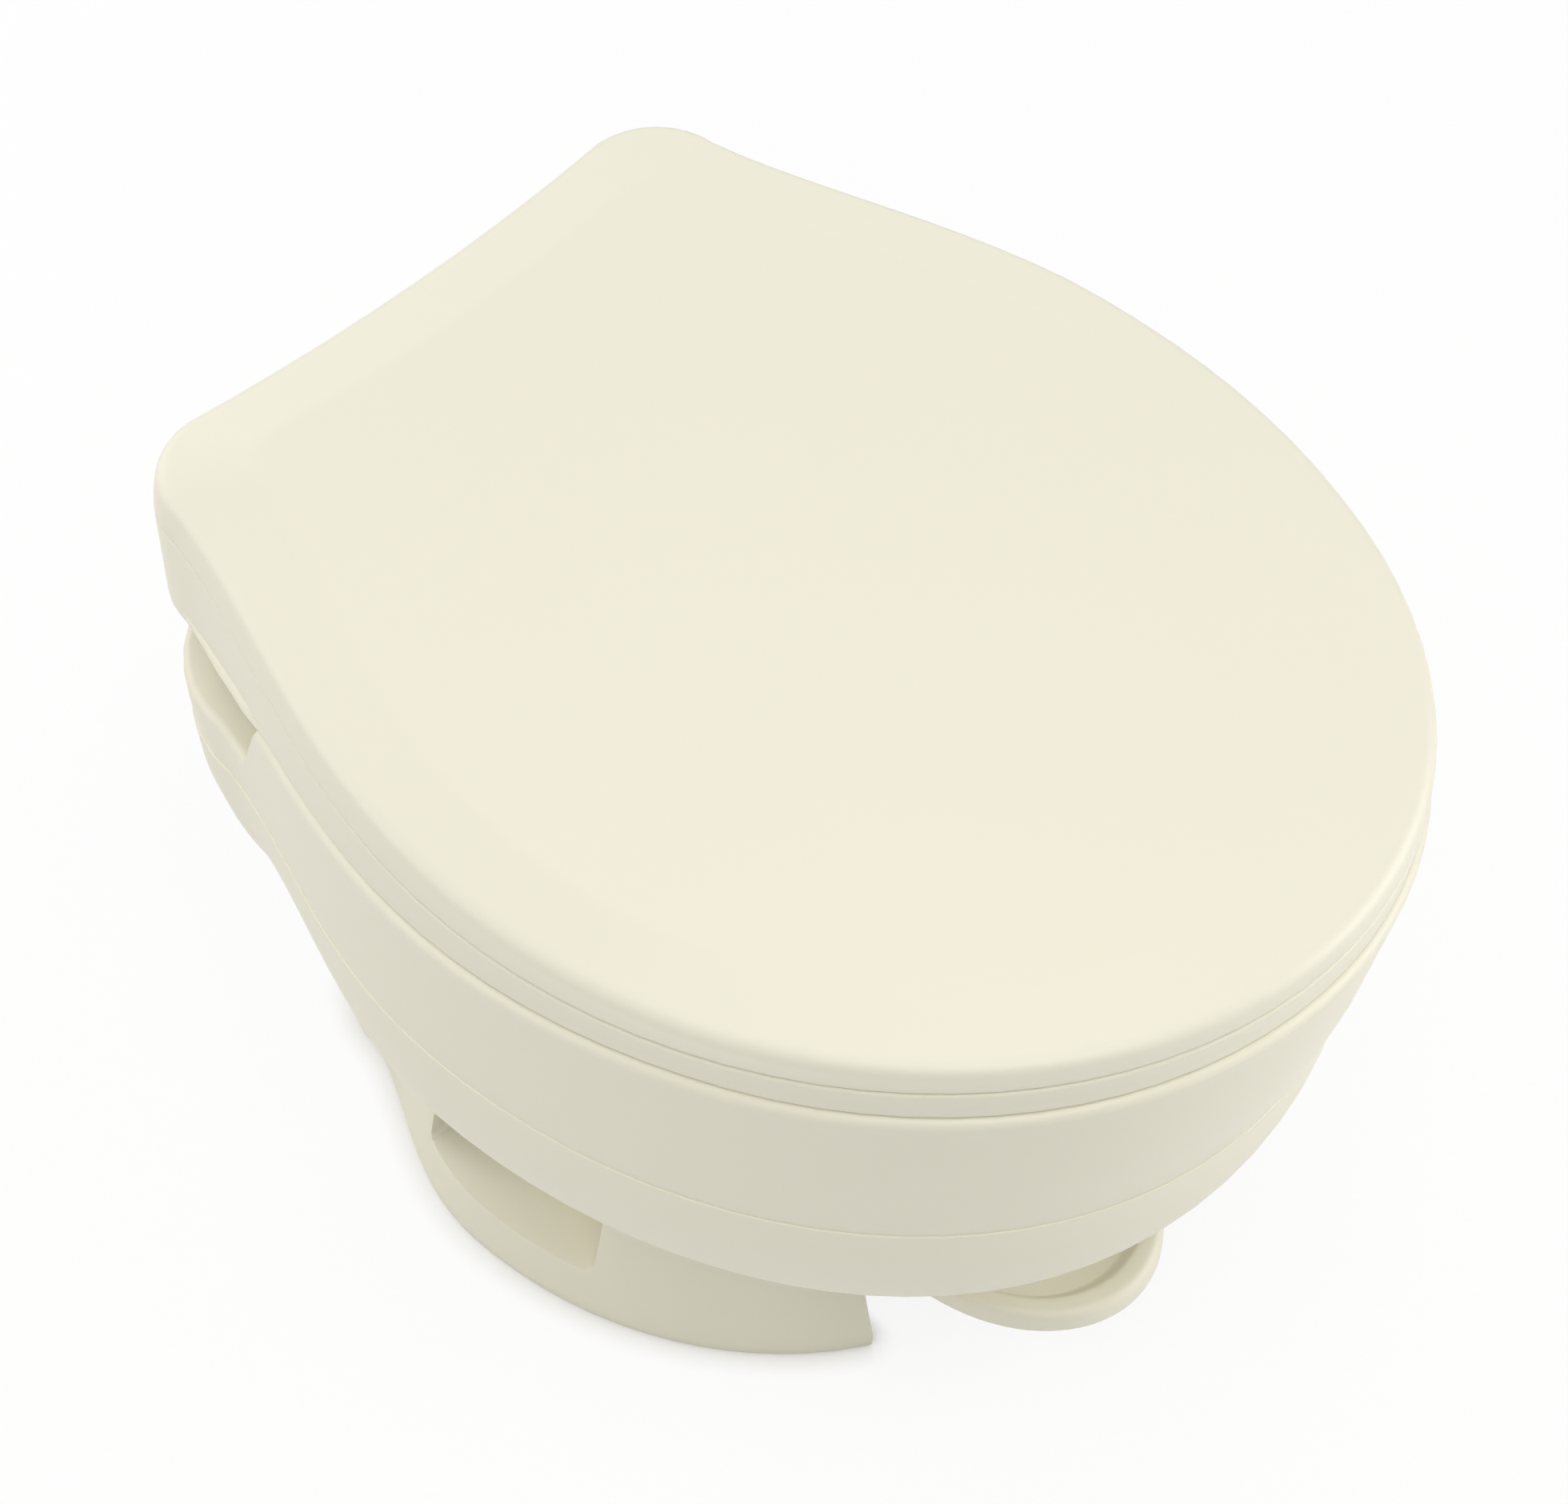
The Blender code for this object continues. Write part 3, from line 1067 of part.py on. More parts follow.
def build_pedal():
    """Foot pedal: a dished tread on a tongue that ends in a hub on the pedal's shaft."""
    rings = [pedal_ring(PEDAL_EDGE, PEDAL_UNDERSIDE), pedal_ring(0.0, PEDAL_UNDERSIDE + PEDAL_EDGE),
             pedal_ring(0.0, PEDAL_RIM_TOP - PEDAL_EDGE),
             pedal_ring(PEDAL_EDGE / 3, PEDAL_RIM_TOP - PEDAL_EDGE / 3),
             pedal_ring(PEDAL_EDGE, PEDAL_RIM_TOP), pedal_ring(PEDAL_RIM_WIDTH, PEDAL_RIM_TOP),
             pedal_ring(PEDAL_RIM_WIDTH + PEDAL_EDGE, PEDAL_DISH_FLOOR)]
    pedal = loft("flush_pedal", rings)
    tongue = block("pedal_tongue", (-TONGUE_HALF_WIDTH, TONGUE_HALF_WIDTH),
                   (PEDAL_DISH_REAR - TONGUE_OVERLAP, PEDAL_Y), (TONGUE_FOOT, TONGUE_TOP))
    combine(pedal, tongue, "UNION")
    hub = rod("pedal_hub", HUB_RADIUS, (-HUB_HALF_LENGTH, HUB_HALF_LENGTH), PEDAL_Y, PEDAL_Z)
    combine(pedal, hub, "UNION")
    combine(pedal, shaft_bore("pedal_bore"))
    return pedal


def shaft_bore(name):
    """Cutter for the pedal's shaft, a close fit on it."""
    reach = PEDAL_SHAFT_HALF_LENGTH + OVERRUN
    return rod(name, PEDAL_SHAFT_RADIUS + GAP, (-reach, reach), PEDAL_Y, PEDAL_Z)


def build_pedal_shaft():
    """Shaft across the base that the pedal turns on."""
    x_range = (-PEDAL_SHAFT_HALF_LENGTH, PEDAL_SHAFT_HALF_LENGTH)
    return rod("pedal_shaft", PEDAL_SHAFT_RADIUS, x_range, PEDAL_Y, PEDAL_Z)


def build_bushing(side):
    """Bushing of the pedal's shaft in its rib."""
    span = side_range(side, RIB_INNER_X - BUSHING_OVERHANG, RIB_INNER_X + RIB_THICKNESS + BUSHING_OVERHANG)
    return sleeve(f"pedal_bushing_{side_name(side)}", PEDAL_SHAFT_RADIUS + GAP, BUSHING_RADIUS, span,
                  (0.0, PEDAL_Y, PEDAL_Z), "X")


def round_bar(name, points, radius, resolution):
    """Tube along a row of points, with flat ends."""
    curve = bpy.data.curves.new(name, "CURVE")
    curve.dimensions = "3D"
    curve.bevel_depth = radius
    curve.bevel_resolution = resolution
    curve.use_fill_caps = True
    spline = curve.splines.new("POLY")
    spline.points.add(len(points) - 1)
    for place, point in zip(spline.points, points):
        place.co = (*point, 1.0)
    thing = bpy.data.objects.new(name, curve)
    bpy.context.collection.objects.link(thing)
    return thing


def build_return_spring():
    """Coil on the pedal's shaft, between the pedal's hub and the rib on the -X side."""
    start = -RIB_INNER_X + BUSHING_OVERHANG + SPRING_WIRE_RADIUS * 2
    stop = -HUB_HALF_LENGTH - SPRING_WIRE_RADIUS * 2
    radius = PEDAL_SHAFT_RADIUS + SPRING_WIRE_RADIUS + SPRING_CLEARANCE
    points = []
    for step in range(SPRING_TURNS * SPRING_POINTS + 1):
        turn = 2 * math.pi * step / SPRING_POINTS
        x = mix(start, stop, step / (SPRING_TURNS * SPRING_POINTS))
        points.append((x, PEDAL_Y + radius * math.cos(turn), PEDAL_Z + radius * math.sin(turn)))
    return round_bar("return_spring", points, SPRING_WIRE_RADIUS, 1)


def tooth_points(centre, pitch_radius, middle):
    """Four corners of a straight-sided gear tooth round an angle."""
    module = pinion_radius() * 2 / PINION_TEETH
    half = math.pi * module * TOOTH_WIDTH_SHARE / 2
    corners = []
    for rise in (-TOOTH_ROOT_SHARE, TOOTH_TOP_SHARE):
        radius = pitch_radius + rise * module
        thick = half - rise * module * math.tan(TOOTH_SLOPE)
        corners.append((radius, thick / radius))
    (root, root_lean), (top, top_lean) = corners
    spots = ((root, -root_lean), (top, -top_lean), (top, top_lean), (root, root_lean))
    return [(centre[0] + radius * math.cos(middle + lean), centre[1] + radius * math.sin(middle + lean))
            for radius, lean in spots]


def line_of_centres():
    """Angle from the pedal's shaft to the ball's shaft, from +Y towards +Z."""
    return math.atan2(BALL_Z - PEDAL_Z, DRAIN_Y - PEDAL_Y)


def build_pinion():
    """Toothed wheel on the ball's shaft."""
    points = []
    for tooth in range(PINION_TEETH):
        middle = line_of_centres() + math.pi + 2 * math.pi * tooth / PINION_TEETH
        points += tooth_points((DRAIN_Y, BALL_Z), pinion_radius(), middle)
    pinion = side_plate("ball_pinion", points, (GEAR_INNER_X, GEAR_INNER_X + GEAR_THICKNESS))
    reach = GEAR_INNER_X + OVERRUN
    combine(pinion, rod("pinion_bore", BALL_SHAFT_RADIUS + GAP, (-reach, reach), DRAIN_Y, BALL_Z))
    return pinion


def pinion_radius():
    """Pitch radius of the pinion, its share of the distance between the two shafts."""
    distance = math.hypot(BALL_Z - PEDAL_Z, DRAIN_Y - PEDAL_Y)
    return distance * PINION_TEETH / (PINION_TEETH + SECTOR_TEETH)


def build_sector():
    """Toothed sector on the pedal's shaft that drives the pinion."""
    pitch = 2 * math.pi / SECTOR_TEETH
    radius = pinion_radius() * SECTOR_TEETH / PINION_TEETH
    first = line_of_centres() + pitch * (SECTOR_FIRST_TOOTH + 1 / 2)
    points = []
    for tooth in range(SECTOR_TEETH_MADE):
        points += tooth_points((PEDAL_Y, PEDAL_Z), radius, first + pitch * tooth)
    last = first + pitch * (SECTOR_TEETH_MADE - 1)
    wrap = math.pi / 3
    points += arc((PEDAL_Y, PEDAL_Z), SECTOR_HUB_RADIUS, last + wrap, first - wrap + 2 * math.pi,
                  SMALL_SEGMENTS)
    sector = side_plate("drive_sector", points, (GEAR_INNER_X, GEAR_INNER_X + GEAR_THICKNESS))
    combine(sector, shaft_bore("sector_bore"))
    return sector


def build_cam():
    """Cam on the ball's shaft that pushes the water valve open."""
    points = arc((DRAIN_Y, BALL_Z), CAM_RADIUS, math.pi * 3 / 4, math.pi * 9 / 4, SMALL_SEGMENTS)
    points += [(DRAIN_Y + lean, BALL_Z + CAM_REACH) for lean in (CAM_TIP_HALF_WIDTH, -CAM_TIP_HALF_WIDTH)]
    cam = side_plate("valve_cam", points, (VALVE_X - CAM_HALF_THICKNESS, VALVE_X + CAM_HALF_THICKNESS))
    reach = -VALVE_X + OVERRUN
    combine(cam, rod("cam_bore", BALL_SHAFT_RADIUS + GAP, (-reach, reach), DRAIN_Y, BALL_Z))
    return cam


def plunger_front():
    """Front of the plunger's button, a running gap behind the cam."""
    return DRAIN_Y + CAM_RADIUS + PLUNGER_CLEARANCE


def build_plunger():
    """Plunger of the water valve, with a button that the cam pushes."""
    profile = [(PLUNGER_BUTTON_RADIUS, 0.0), (PLUNGER_BUTTON_RADIUS, PLUNGER_BUTTON_HEIGHT),
               (PLUNGER_RADIUS, PLUNGER_BUTTON_HEIGHT), (PLUNGER_RADIUS, PLUNGER_LENGTH)]
    return turned("valve_plunger", profile, (VALVE_X, plunger_front(), BALL_Z), "Y", SMALL_SEGMENTS)


def build_valve():
    """Water valve: a block bored for its plunger."""
    valve = block("water_valve", (VALVE_X - VALVE_HALF_WIDTH, VALVE_X + VALVE_HALF_WIDTH),
                  (VALVE_FRONT, VALVE_REAR), (BALL_Z - VALVE_HALF_HEIGHT, BALL_Z + VALVE_HALF_HEIGHT))
    depth = plunger_front() + PLUNGER_LENGTH + PLUNGER_STROKE + PLUNGER_CLEARANCE
    profile = [(PLUNGER_RADIUS + GAP, 0.0), (PLUNGER_RADIUS + GAP, depth)]
    combine(valve, turned("plunger_bore", profile, (VALVE_X, 0.0, BALL_Z), "Y", SMALL_SEGMENTS))
    return valve


def build_inlet():
    """Water inlet tube with a collar behind the base."""
    collar = (BASE.rear + INLET_COLLAR_GAP, BASE.rear + INLET_COLLAR_GAP + INLET_COLLAR_LENGTH)
    profile = [(INLET_BORE_RADIUS, VALVE_REAR + GAP), (INLET_RADIUS, VALVE_REAR + GAP),
               (INLET_RADIUS, collar[0]), (INLET_COLLAR_RADIUS, collar[0]),
               (INLET_COLLAR_RADIUS, collar[1]), (INLET_RADIUS, collar[1]),
               (INLET_RADIUS, INLET_REAR), (INLET_BORE_RADIUS, INLET_REAR)]
    return turned("water_inlet", profile, (VALVE_X, 0.0, BALL_Z), "Y", ROUND_SEGMENTS, closed=True)


def build_breaker():
    """Vacuum breaker: a cup in which a float rises."""
    profile = [(BREAKER_RADIUS, BREAKER_FOOT), (BREAKER_RADIUS, BREAKER_TOP),
               (BREAKER_BORE_RADIUS, BREAKER_TOP), (BREAKER_BORE_RADIUS, BREAKER_BORE_FOOT)]
    return turned("vacuum_breaker", profile, (BREAKER_X, BREAKER_Y, 0.0), "Z")


def build_float():
    """Float disc of the vacuum breaker."""
    radius = BREAKER_BORE_RADIUS - FLOAT_CLEARANCE
    foot = BREAKER_BORE_FOOT + GAP
    return turned("breaker_float", [(radius, foot), (radius, foot + FLOAT_HEIGHT)],
                  (BREAKER_X, BREAKER_Y, 0.0), "Z")


def build_breaker_cap():
    """Cap that closes the breaker and meets the deck above."""
    top = DECK_HEIGHT - DECK_THICKNESS - GAP
    profile = [(BREAKER_CAP_RADIUS, BREAKER_TOP + GAP), (BREAKER_CAP_RADIUS, top)]
    return turned("breaker_cap", profile, (BREAKER_X, BREAKER_Y, 0.0), "Z")


def hose(name, start, start_way, end, end_way, slack):
    """Round hose on one smooth curve between two ports that it leaves square."""
    first = Vector(start)
    last = Vector(end)
    lead = (first + Vector(start_way) * HOSE_LEAD, last + Vector(end_way) * HOSE_LEAD)
    handles = (lead[0] + Vector(start_way) * slack, lead[1] + Vector(end_way) * slack)
    points = [first]
    for step in range(HOSE_POINTS + 1):
        t = step / HOSE_POINTS
        weights = ((1 - t) ** 3, 3 * t * (1 - t) ** 2, 3 * t ** 2 * (1 - t), t ** 3)
        nodes = (lead[0], handles[0], handles[1], lead[1])
        points.append(sum((node * w for w, node in zip(weights, nodes)), Vector()))
    points.append(last)
    return round_bar(name, points, HOSE_RADIUS, 2)


def build_hoses():
    """Hose from the valve up to the breaker, and hose from the breaker to the rinse nozzle."""
    valve_port = (VALVE_X, VALVE_FRONT + VALVE_LENGTH / 2, BALL_Z + VALVE_HALF_HEIGHT + GAP)
    breaker_foot = (BREAKER_X, BREAKER_Y, BREAKER_FOOT - GAP)
    breaker_port = (BREAKER_X + BREAKER_RADIUS + GAP, BREAKER_Y, BREAKER_TOP - BREAKER_PORT_DROP)
    nozzle_port = (0.0, nozzle_front() + NOZZLE_LENGTH + GAP, NOZZLE_Z)
    supply = hose("supply_hose", valve_port, (0, 0, 1), breaker_foot, (0, 0, -1), HOSE_LEAD)
    rinse = hose("rinse_hose", breaker_port, (1, 0, 0), nozzle_port, (0, 1, 0), HOSE_LEAD)
    return [supply, rinse]


def build_nozzle():
    """Nozzle that rinses the bowl, through the liner's rear wall."""
    return sleeve("rinse_nozzle", NOZZLE_BORE_RADIUS, NOZZLE_RADIUS, (0.0, NOZZLE_LENGTH),
                  (0.0, nozzle_front(), NOZZLE_Z), "Y", SMALL_SEGMENTS)


def build_fixed_pieces(cream, bowl, rubber, metal, dark):
    """Build and paint everything that doesn't move."""
    sides = (-1, 1)
    paint([build_body(), build_base()], cream)
    paint([build_liner(), build_nozzle()], bowl)
    paint([build_bracket(side) for side in sides], cream)
    paint([build_hinge_pin(side) for side in sides], metal)
    paint([build_hinge_bolt(side) for side in sides] + [build_wing_nut(side) for side in sides], dark)
    paint([build_housing(), build_retainer(), build_valve(), build_breaker(), build_breaker_cap()], dark)
    paint([build_bearing(side) for side in sides] + [build_bushing(side) for side in sides], dark)
    paint([build_seal(), build_floor_seal()], rubber)
    paint([build_inlet()], metal)
    paint([build_closet_bolt(side) for side in sides] + [build_closet_nut(side) for side in sides], metal)
    paint([build_closet_washer(side) for side in sides], metal)
    paint([build_return_spring()], metal)
    paint(build_hoses(), rubber)


def build_moving_pieces(cream, rubber, metal, dark):
    """Build, paint and hang every piece that moves."""
    sides = (-1, 1)
    hinge = (0.0, HINGE_Y, HINGE_Z)
    pads = []
    for side in sides:
        pads.append(build_seat_bumper(side, SEAT_BUMPER_FRONT_Y, "front"))
        pads.append(build_seat_bumper(side, SEAT_BUMPER_REAR_Y, "rear"))
    posts = [build_lid_bumper(side) for side in sides]
    seat = build_seat()
    lid = build_lid()
    paint([seat, lid], cream)
    paint(pads + posts, rubber)
    hang([seat] + pads, pivot("seat_pivot", hinge))
    hang([lid] + posts, pivot("lid_pivot", hinge))
    pedal = build_pedal()
    paint([pedal], cream)
    drive = [build_pedal_shaft(), build_sector()]
    paint(drive, metal)
    hang([pedal] + drive, pivot("pedal_pivot", (0.0, PEDAL_Y, PEDAL_Z)))
    ball = build_ball()
    gears = [build_pinion(), build_cam()]
    shafts = [build_ball_shaft(side) for side in sides]
    paint([ball] + gears, dark)
    paint(shafts, metal)
    hang([ball] + gears + shafts, pivot("ball_pivot", (0.0, DRAIN_Y, BALL_Z)))
    plunger = build_plunger()
    float_disc = build_float()
    paint([plunger], metal)
    paint([float_disc], rubber)
    hang([plunger], pivot("plunger_slide", (VALVE_X, plunger_front(), BALL_Z)))
    hang([float_disc], pivot("float_slide", (BREAKER_X, BREAKER_Y, BREAKER_BORE_FOOT)))


def main():
    """Build the toilet."""
    for thing in list(bpy.data.objects):
        bpy.data.objects.remove(thing)
    cream = material("cream_plastic", (0.80, 0.76, 0.62), 0.35)
    bowl = material("bowl_plastic", (0.82, 0.79, 0.67), 0.25)
    rubber = material("black_rubber", (0.03, 0.03, 0.03), 0.75)
    metal = material("plated_steel", (0.62, 0.60, 0.56), 0.30, 1.0)
    dark = material("grey_plastic", (0.20, 0.20, 0.20), 0.50)
    build_fixed_pieces(cream, bowl, rubber, metal, dark)
    build_moving_pieces(cream, rubber, metal, dark)


main()
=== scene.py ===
"""Looks of a low-profile toilet with a foot pedal for a recreational vehicle.

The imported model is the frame.  The moulded shells are built again here with finer curves and rounded
edges, and every other part of the frame keeps its shape and gets a finish.  Lengths are in metres.
"""
import json
import logging
import math
from collections.abc import Callable, Sequence
from dataclasses import dataclass, field, replace
from enum import Enum

import bmesh
import bpy
from mathutils import Matrix, Vector


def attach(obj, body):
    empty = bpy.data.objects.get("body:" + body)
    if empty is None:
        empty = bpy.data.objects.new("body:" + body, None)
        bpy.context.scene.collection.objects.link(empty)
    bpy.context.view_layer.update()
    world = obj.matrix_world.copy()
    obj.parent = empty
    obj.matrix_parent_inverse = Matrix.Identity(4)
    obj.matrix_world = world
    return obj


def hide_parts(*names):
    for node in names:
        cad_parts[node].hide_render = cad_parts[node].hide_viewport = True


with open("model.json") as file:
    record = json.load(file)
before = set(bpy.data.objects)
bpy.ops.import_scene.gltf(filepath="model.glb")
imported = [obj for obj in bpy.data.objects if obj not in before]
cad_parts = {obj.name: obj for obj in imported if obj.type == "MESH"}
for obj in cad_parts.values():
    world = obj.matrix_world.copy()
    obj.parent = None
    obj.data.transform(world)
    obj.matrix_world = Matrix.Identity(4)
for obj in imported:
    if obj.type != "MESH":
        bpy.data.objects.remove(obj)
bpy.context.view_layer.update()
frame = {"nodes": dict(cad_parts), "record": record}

LOG = logging.getLogger("toilet")
Colour = tuple[float, float, float]
Height = float | Callable[[float], float]
Span = tuple[float, float]
Ring = Sequence[Vector]
Piece = bpy.types.Object
Edge = bmesh.types.BMEdge
Vert = bmesh.types.BMVert

FRONT_STEPS = 22
SIDE_STEPS = 14
CORNER_STEPS = 8
REAR_STEPS = 5
ARC_STEPS = 6
ROUND_STEPS = 48
HOLE_STEPS = 24
SIDE_HANDLES = (0.42, 0.70)
SIDE_FULLNESS = 0.26
GAP = 0.0003
OVERRUN = 0.030
SIDES = (-1, 1)
SMOOTH_ANGLE = 38.0
WHITE = (1.0, 1.0, 1.0, 1.0)
PEDAL_BORE = (-0.1, 0.1)
TINY = 1e-6
SLACK = 0.001
MERGE = 2e-5
TURNS = {"X": Matrix.Rotation(math.pi / 2, 4, "Y"), "Y": Matrix.Rotation(-math.pi / 2, 4, "X"),
         "Z": Matrix.Identity(4)}


def mix(start: float, end: float, share: float) -> float:
    """Return the value a share of the way from start to end."""
    return start + (end - start) * share


def ramp(value: float, start: float, end: float) -> float:
    """Return how far a value lies from start to end, held between 0 and 1."""
    return max(0.0, min(1.0, (value - start) / (end - start)))


def side_name(side: int) -> str:
    """Return the word that the frame's nodes use for a side."""
    return "right" if side > 0 else "left"


def side_span(side: int, inner: float, outer: float) -> Span:
    """Return the limits along X between two distances on one side."""
    return tuple(sorted((side * inner, side * outer)))


@dataclass(frozen=True)
class Plan:
    """Outline seen from above, the same on both sides.

    It reaches from front, ahead of the origin, to rear behind it.  It is widest at the centre's y and
    narrows to rear_half_width, where its corners are rounded.
    """

    half_width: float
    front: float
    centre: float
    rear: float
    rear_half_width: float
    corner: float

    def inset(self, depth: float) -> "Plan":
        """Return the outline drawn in by a depth all round."""
        return Plan(self.half_width - depth, self.front - depth, self.centre, self.rear - depth,
                    self.rear_half_width - depth, max(self.corner - depth, self.corner / 4))

    def blend(self, other: "Plan", share: float) -> "Plan":
        """Return the outline a share of the way to another one."""
        return Plan(*(mix(getattr(self, name), getattr(other, name), share)
                      for name in self.__dataclass_fields__))

    def half(self, hollow: float) -> list[Span]:
        """Return the +X half of the outline, from the front centre to the rear centre.

        Args:
            hollow: How far the middle of the rear edge is drawn in.

        Returns:
            Points as pairs of x and y.
        """
        points = []
        for step in range(FRONT_STEPS):
            turn = math.pi / 2 * step / FRONT_STEPS
            reach = self.front + self.centre
            points.append((self.half_width * math.sin(turn), self.centre - reach * math.cos(turn)))
        run = self.rear - self.corner - self.centre
        first_y, second_y = (self.centre + run * share for share in SIDE_HANDLES)
        second_x = mix(self.rear_half_width, self.half_width, SIDE_FULLNESS)
        handles = ((self.half_width, self.centre), (self.half_width, first_y), (second_x, second_y),
                   (self.rear_half_width, self.centre + run))
        for step in range(SIDE_STEPS):
            t = step / SIDE_STEPS
            weights = ((1 - t) ** 3, 3 * t * (1 - t) ** 2, 3 * t ** 2 * (1 - t), t ** 3)
            points.append(tuple(sum(w * handle[axis] for w, handle in zip(weights, handles))
                                for axis in (0, 1)))
        corner_x = self.rear_half_width - self.corner
        for step in range(CORNER_STEPS):
            turn = math.pi / 2 * step / CORNER_STEPS
            points.append((corner_x + self.corner * math.cos(turn),
                           self.rear - self.corner + self.corner * math.sin(turn)))
        for step in range(REAR_STEPS + 1):
            share = 1 - step / REAR_STEPS
            points.append((corner_x * share, self.rear - hollow * (1 - share ** 2)))
        return points

    def ring(self, height: Height, hollow: float = 0.006) -> Ring:
        """Return the whole outline at a height.

        Args:
            height: One height, or a rule that gives it from y.
            hollow: How far the middle of the rear edge is drawn in.

        Returns:
            Points of a closed loop.
        """
        half = self.half(hollow)
        whole = half + [(-x, y) for x, y in half[-2:0:-1]]
        return [Vector((x, y, height(y) if callable(height) else height)) for x, y in whole]


@dataclass(frozen=True)
class Lines:
    """Outlines and heights that the lid, the seat and the body share."""

    half_width: float = 0.195
    half_length: float = 0.2425
    parting_height: float = 0.322
    parting_rise: float = 0.0214
    parting_rise_start: float = 0.030
    parting_curve: float = 1.55
    parting_gap: float = 0.0011
    wall_front: float = 0.0132
    wall_rear: float = 0.0192
    wall_ramp: Span = (-0.100, 0.050)
    seat_thickness: float = 0.015
    seat_block_depth: float = 0.041
    seat_block_start: float = -0.100
    seat_block_curve: float = 1.55
    seat_rim_gap: float = 0.003
    rim_end_y: float = 0.146
    hinge_y: float = 0.225
    hinge_z: float = 0.300
    pin_radius: float = 0.004
    bolt_x: float = 0.072
    bolt_y: float = 0.178
    deck_height: float = 0.245
    deck_thickness: float = 0.0045
    drain_y: float = 0.060
    ball_z: float = 0.090
    pedal_y: float = -0.030
    pedal_z: float = 0.050
    top: Plan = Plan(0.195, 0.2425, 0.0, 0.2425, 0.147, 0.036)
    shell: Plan = Plan(0.194, 0.2415, 0.0, 0.2420, 0.1448, 0.035)
    panel: Plan = Plan(0.161, 0.194, 0.0, 0.205, 0.112, 0.022)
    seat_opening: Plan = Plan(0.120, 0.165, 0.0, 0.105, 0.118, 0.085)
    bowl_opening: Plan = Plan(0.138, 0.186, 0.0, 0.109, 0.136, 0.085)
    crease: Plan = Plan(0.1935, 0.220, 0.020, 0.240, 0.158, 0.066)
    belly: Plan = Plan(0.171, 0.187, 0.050, 0.222, 0.135, 0.060)
    waist: Plan = Plan(0.132, 0.085, 0.060, 0.195, 0.100, 0.045)
    base: Plan = Plan(0.149, 0.1135, 0.060, 0.209, 0.112, 0.047)

    def parting(self, y: float) -> float:
        """Return the height of the line between the lid and the seat."""
        share = (self.parting_rise_start - y) / (self.parting_rise_start + self.half_length)
        return self.parting_height + self.parting_rise * max(0.0, min(1.0, share)) ** self.parting_curve

    def lid_foot(self, y: float) -> float:
        """Return the height of the lid's lower edge."""
        return self.parting(y) + self.parting_gap / 2

    def lid_crest(self, y: float) -> float:
        """Return the height of the top of the lid's wall."""
        return self.parting(y) + mix(self.wall_front, self.wall_rear, ramp(y, *self.wall_ramp))

    def seat_top(self, y: float) -> float:
        """Return the height of the seat's upper face."""
        return self.parting(y) - self.parting_gap / 2

    def seat_line(self, y: float) -> float:
        """Return the height of the line between the seat and the rim."""
        share = ramp(y, self.seat_block_start, self.half_length)
        return self.parting(y) - self.seat_thickness - self.seat_block_depth * share ** self.seat_block_curve

    def seat_foot(self, y: float) -> float:
        """Return the height of the seat's underside."""
        return self.seat_line(y) + self.seat_rim_gap / 2

    def rim_top(self, y: float) -> float:
        """Return the height of the bowl's rim."""
        return self.seat_line(min(y, self.rim_end_y)) - self.seat_rim_gap / 2


LINES = Lines()


def lift(height: Height, rise: float) -> Callable[[float], float]:
    """Return a height rule raised by a constant."""
    return lambda y: (height(y) if callable(height) else height) + rise


class Skin:
    """A surface that grows ring by ring, each ring extruded from the one before."""

    def __init__(self, first: Ring) -> None:
        """Start from one ring of points."""
        self.bm = bmesh.new()
        made = bmesh.ops.create_circle(self.bm, cap_ends=False, segments=len(first), radius=1.0)
        self.first = list(made["verts"])
        self.loop = list(self.first)
        self._place(first)

    def _place(self, points: Ring) -> None:
        """Move the newest ring onto its points."""
        for vert, point in zip(self.loop, points):
            vert.co = point

    def _edges(self, loop: Sequence[Vert]) -> list[Edge]:
        """Return the edges round a ring."""
        return [self.bm.edges.get((a, b)) for a, b in zip(loop, list(loop[1:]) + [loop[0]])]

    def grow(self, *rings: Ring) -> "Skin":
        """Extrude the newest ring onto each of the rings in turn."""
        for points in rings:
            made = bmesh.ops.extrude_edge_only(self.bm, edges=self._edges(self.loop))["geom"]
            fresh = {item for item in made if isinstance(item, Vert)}
            self.loop = [next(edge.other_vert(vert) for edge in vert.link_edges
                              if edge.other_vert(vert) in fresh) for vert in self.loop]
            self._place(points)
        return self

    def cap(self) -> "Skin":
        """Close both ends with a face."""
        bmesh.ops.edgeloop_fill(self.bm, edges=self._edges(self.first))
        bmesh.ops.edgeloop_fill(self.bm, edges=self._edges(self.loop))
        return self

    def join(self) -> "Skin":
        """Bridge the last ring back to the first."""
        bmesh.ops.bridge_loops(self.bm, edges=self._edges(self.first) + self._edges(self.loop))
        return self

    def piece(self, name: str) -> Piece:
        """Return the surface as an object."""
        return make_piece(name, self.bm)


def make_piece(name: str, bm: bmesh.types.BMesh) -> Piece:
    """Turn a bmesh, freed here, into an object at the origin whose faces point out."""
    bmesh.ops.recalc_face_normals(bm, faces=bm.faces)
    if bm.calc_volume(signed=True) < 0:
        bmesh.ops.reverse_faces(bm, faces=bm.faces)
    mesh = bpy.data.meshes.new(name)
    bm.to_mesh(mesh)
    bm.free()
    shade(mesh)
    piece = bpy.data.objects.new(name, mesh)
    bpy.context.scene.collection.objects.link(piece)
    return piece


def block(name: str, x_span: Span, y_span: Span, z_span: Span) -> Piece:
    """Return a box between three pairs of limits."""
    bm = bmesh.new()
    spans = (x_span, y_span, z_span)
    size = Matrix.Diagonal([high - low for low, high in spans] + [1.0])
    place = Matrix.Translation([(low + high) / 2 for low, high in spans])
    bmesh.ops.create_cube(bm, size=1.0, matrix=place @ size)
    return make_piece(name, bm)


